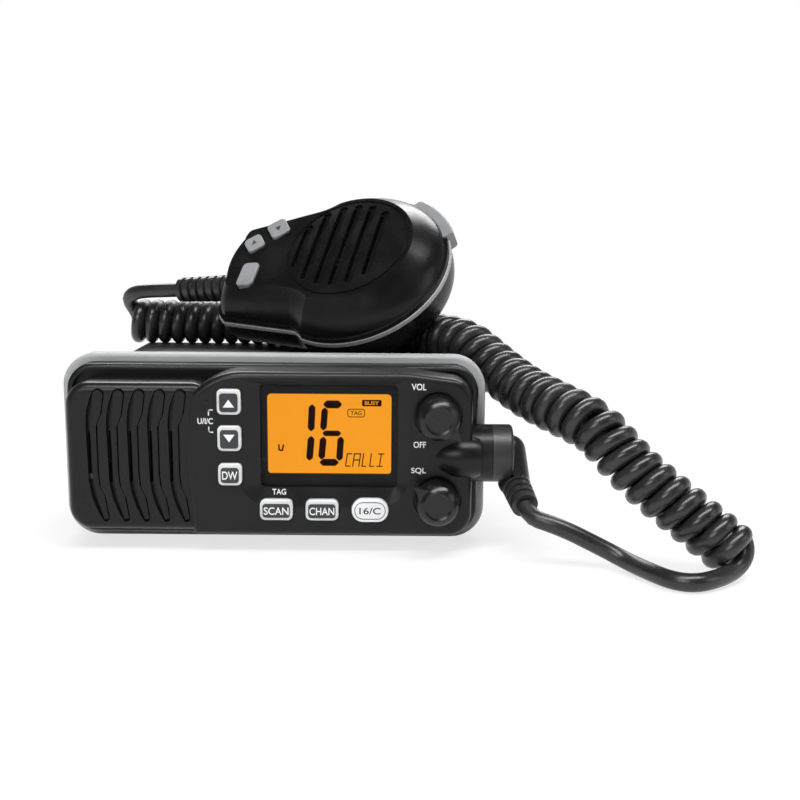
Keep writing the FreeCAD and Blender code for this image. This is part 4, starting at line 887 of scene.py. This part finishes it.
class RADIO_OT_display_marks(bpy.types.Operator):
    """Adds the lit display's dark segments and the black border printed round them"""
    bl_idname = "radio.display_marks"
    bl_label = "Add display segments"

    def execute(self, context):
        ink = context.scene.radio_marks.thickness
        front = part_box("display_glass")[0][1] - ink
        pieces = []
        for x0, z0, x1, z1, width in NUMBER_BARS:
            pieces.append(stroke(x0, z0, x1, z1, front, width, 2 * ink, past=0.0,
                                 corner=BAR_CORNER * width * MM, steps=1))
        busy_x, busy_z, wide, tall, corner, busy_tall, busy_wide = [size * MM for size in BUSY_MARK]
        pieces.append(plate(busy_x, busy_z, front, wide, tall, 2 * ink, corner))
        x, z, wide, tall, corner, word_tall, word_wide = [size * MM for size in TAG_MARK]
        pieces.append(plate(x, z, front, wide, tall, 2 * ink, corner, band=TAG_LINE * MM))
        pieces.append(words("TAG", x, z, front, word_tall, word_wide, 2 * ink))
        pieces += strokes(CUP_MARK, front, CUP_LINE, 2 * ink)
        for letter in SMALL_LETTERS:
            for line in small_letter(*letter):
                pieces += strokes(line, front, THIN_LINE, 2 * ink)
        finish_piece(pieces, "display_segments", "radio", segment_ink())
        letters = words("BUSY", busy_x, busy_z, front - ink, busy_tall, busy_wide, 2 * ink)
        finish_piece([letters], "display_clear_letters", "radio", slot_material("display_glass"))
        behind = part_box("display_window")[1][1] + BORDER_GAP * MM
        border = area_plate(WINDOW_AREA, behind, BORDER_THICKNESS * MM)
        opening = area_plate(LIT_AREA, behind - BORDER_CUT * MM, 2 * BORDER_CUT * MM)
        finish_piece([cut_out(border, opening)], "display_bezel", "radio", window_print())
        return {"FINISHED"}


class RADIO_OT_key_faces(bpy.types.Operator):
    """Adds the dark plates and the printed marks to the six keys"""
    bl_idname = "radio.key_faces"
    bl_label = "Add key faces"

    def execute(self, context):
        marks = context.scene.radio_marks
        ink, rim, proud, brow = marks.thickness, marks.key_rim, KEY_PROUD * MM, KEY_BROW * MM
        dark = shared_material("key_plate", moulded, marks.key_plate, 0.35)
        for name, (body, middle, wide, tall) in KEYS.items():
            low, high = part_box(name)
            x, z, front = (low[0] + high[0]) / 2, middle * MM, low[1]
            width, height = wide * MM, tall * MM
            face = front - proud
            if name == "key_priority":
                ring = plate(x, z, front - ink, width - RING_INSET * MM, height - RING_INSET * MM, 2 * ink,
                             corner=RING_CORNER * MM, band=RING_LINE * MM)
                letters = words(RING_WORD, x, z - RING_WORD_DROP * MM, front - ink, RING_WORD_HEIGHT * MM,
                                RING_WORD_WIDTH * MM, 2 * ink)
                finish_piece([ring, letters], "priority_key_mark", body, dark_ink())
                continue
            inset = plate(x, z - brow / 2, face, width - 2 * rim, height - 2 * rim - brow, 2 * proud,
                          corner=KEY_CORNER * MM)
            finish_piece([inset], name + "_plate", body, dark)
            if name in KEY_ARROWS:
                shift, turn = KEY_ARROWS[name]
                mark = arrow_head(x, z + shift * MM, face - ink, KEY_ARROW_WIDTH * MM, KEY_ARROW_HEIGHT * MM,
                                  2 * ink, turn=turn)
            else:
                text, tall, wide = KEY_WORDS[name]
                mark = words(text, x, z - KEY_WORD_DROP * MM, face - ink, tall * MM, wide * MM, 2 * ink)
            finish_piece([mark], name + "_mark", body, white_ink())
        return {"FINISHED"}


class RADIO_OT_panel_marks(bpy.types.Operator):
    """Adds the printed words and corner lines beside the knobs and keys"""
    bl_idname = "radio.panel_marks"
    bl_label = "Add panel marks"

    def execute(self, context):
        ink = context.scene.radio_marks.thickness
        front = PANEL_FACE - ink
        pieces = [words(text, x * MM, z * MM, front, tall * MM, wide * MM, 2 * ink)
                  for text, x, z, tall, wide in PANEL_WORDS]
        for end in (1, -1):
            line = [(x, KEY_LINK_Z + end * z) for x, z in KEY_LINK]
            pieces += strokes(line, front, THIN_LINE, 2 * ink)
        finish_piece(pieces, "panel_words", "radio", white_ink())
        return {"FINISHED"}


class RADIO_OT_microphone_marks(bpy.types.Operator):
    """Adds the arrows on the microphone's up and down keys"""
    bl_idname = "radio.microphone_marks"
    bl_label = "Add microphone marks"

    def execute(self, context):
        ink = context.scene.radio_marks.thickness
        for name, (body, x, y, height, turn) in MIC_ARROWS.items():
            arrow = arrow_head(x * MM, y * MM, -height * MM - ink, ARROW_WIDTH * MM, ARROW_HEIGHT * MM,
                               2 * ink, turn=math.radians(turn))
            finish_piece(onto_microphone([arrow]), name + "_mark", body, dark_ink())
        return {"FINISHED"}


class RADIO_OT_add_stage(bpy.types.Operator):
    """Adds the floor, the lamps, the surrounding light and the camera"""
    bl_idname = "radio.add_stage"
    bl_label = "Add stage"

    def execute(self, context):
        stage = context.scene.radio_stage
        add_floor(stage)
        for name, (source, share, place, width, depth) in LAMPS.items():
            add_lamp(name, getattr(stage, source) * share, place, width, depth)
        add_surroundings()
        add_camera(context.scene)
        return {"FINISHED"}


class RADIO_PT_tools(bpy.types.Panel):
    """Lists the operators and settings of the radio's looks"""
    bl_idname = "RADIO_PT_tools"
    bl_label = "Marine radio"
    bl_space_type = "VIEW_3D"
    bl_region_type = "UI"
    bl_category = "Marine radio"

    def draw(self, context):
        for step in STEPS:
            self.layout.operator(step.bl_idname)
        for group in SETTINGS:
            settings = getattr(context.scene, group)
            for name in settings.__annotations__:
                self.layout.prop(settings, name)


# ------------------------------------------------------------------ stage
def backdrop_material(stage):
    """Pale floor that keeps the shadow and turns to plain white away from the radio."""
    material, shader = new_material("pale_floor")
    grain = object_noise(material, 14.0)
    tint(material, grain, shader, stage.floor, 0.01)
    shader.inputs["Roughness"].default_value = 0.8
    shader.inputs["Specular IOR Level"].default_value = 0.1
    coords = add_node(material, "ShaderNodeTexCoord")
    reach = add_node(material, "ShaderNodeVectorMath")
    reach.operation = "LENGTH"
    link(material, coords, "Object", reach, 0)
    share = add_node(material, "ShaderNodeMapRange", **FLOOR_WHITE)
    share.interpolation_type = "SMOOTHSTEP"
    link(material, reach, "Value", share, "Value")
    rays = add_node(material, "ShaderNodeLightPath")
    seen = maths(material, "MAXIMUM", (rays, "Is Camera Ray"), (rays, "Is Glossy Ray"))
    both = maths(material, "MULTIPLY", (seen, "Value"), (share, "Result"))
    glow = add_node(material, "ShaderNodeEmission", Color=(1, 1, 1, 1), Strength=1.0)
    mix_shaders(material, (both, "Value"), (shader, "BSDF"), (glow, "Emission"), "Material Output")
    return material


def add_floor(stage):
    start_clean()
    bpy.ops.mesh.primitive_plane_add(size=FLOOR_SIZE, location=(0, 0, 0))
    floor = bpy.context.object
    floor.name = "floor"
    floor.data.materials.append(backdrop_material(stage))


def add_lamp(name, power, place, width, depth):
    """Soft rectangular lamp that shines on the middle of the radio."""
    start_clean()
    bpy.ops.object.light_add(type="AREA", location=place)
    lamp = bpy.context.object
    lamp.name = name
    lamp.data.shape = "RECTANGLE"
    lamp.data.size = width
    lamp.data.size_y = depth
    lamp.data.energy = power
    lamp.rotation_euler = (LAMP_AIM - Vector(place)).to_track_quat("-Z", "Y").to_euler()


def add_surroundings():
    """World light: pale low behind, dim overhead and in front of the object, white to the camera."""
    world = bpy.context.scene.world or bpy.data.worlds.new("surroundings")
    bpy.context.scene.world = world
    world.use_nodes = True
    light = world.node_tree.nodes["Background"]
    light.inputs["Color"].default_value = (1, 1, 1, 1)
    coords = add_node(world, "ShaderNodeTexCoord")
    split = add_node(world, "ShaderNodeSeparateXYZ")
    link(world, coords, "Generated", split, "Vector")
    height = add_node(world, "ShaderNodeMapRange", **WORLD_HEIGHT)
    link(world, split, "Z", height, "Value")
    depth = add_node(world, "ShaderNodeMapRange", **WORLD_DEPTH)
    link(world, split, "Y", depth, "Value")
    strength = maths(world, "MULTIPLY", (height, "Result"), (depth, "Result"))
    link(world, strength, "Value", light, "Strength")
    seen = add_node(world, "ShaderNodeBackground", Color=(1, 1, 1, 1), Strength=1.0)
    rays = add_node(world, "ShaderNodeLightPath")
    either = maths(world, "MAXIMUM", (rays, "Is Camera Ray"), (rays, "Is Transmission Ray"))
    mix_shaders(world, (either, "Value"), (light, "Background"), (seen, "Background"), "World Output")


def add_camera(scene):
    """Camera a little above the radio, straight in front, pitched down, with a slight roll."""
    ahead = Vector((0, math.cos(CAMERA_PITCH), -math.sin(CAMERA_PITCH)))
    level_up = Vector((0, math.sin(CAMERA_PITCH), math.cos(CAMERA_PITCH)))
    right = math.cos(CAMERA_ROLL) * Vector((1, 0, 0)) + math.sin(CAMERA_ROLL) * level_up
    up = right.cross(ahead)
    start_clean()
    bpy.ops.object.camera_add(location=CAMERA_PLACE)
    camera = bpy.context.object
    turn = Matrix((right, up, -ahead)).transposed()
    camera.matrix_world = Matrix.Translation(CAMERA_PLACE) @ turn.to_4x4()
    camera.data.lens = 50.0
    camera.data.sensor_width = 36.0
    camera.data.clip_start, camera.data.clip_end = 0.01, 50.0
    scene.camera = camera
    scene.view_settings.view_transform = "Standard"


# ------------------------------------------------------------------ registration
SETTINGS = {
    "radio_finish": RadioFinishSettings, "radio_marks": RadioMarkSettings,
    "radio_cord": RadioCordSettings, "radio_stage": RadioStageSettings,
}
STEPS = [
    RADIO_OT_finish_front, RADIO_OT_finish_controls, RADIO_OT_knob_caps, RADIO_OT_finish_case,
    RADIO_OT_finish_microphone, RADIO_OT_display_marks, RADIO_OT_key_faces, RADIO_OT_panel_marks,
    RADIO_OT_microphone_marks, RADIO_OT_add_cord, RADIO_OT_add_stage,
]


def register():
    for group in SETTINGS.values():
        bpy.utils.register_class(group)
    for name, group in SETTINGS.items():
        setattr(bpy.types.Scene, name, bpy.props.PointerProperty(type=group))
    for step in STEPS + [RADIO_PT_tools]:
        bpy.utils.register_class(step)


def unregister():
    for step in [RADIO_PT_tools] + STEPS[::-1]:
        bpy.utils.unregister_class(step)
    for name, group in SETTINGS.items():
        delattr(bpy.types.Scene, name)
        bpy.utils.unregister_class(group)


def main():
    register()
    for step in STEPS:
        area, operation = step.bl_idname.split(".")
        getattr(getattr(bpy.ops, area), operation)()


if __name__ == "__main__":
    main()
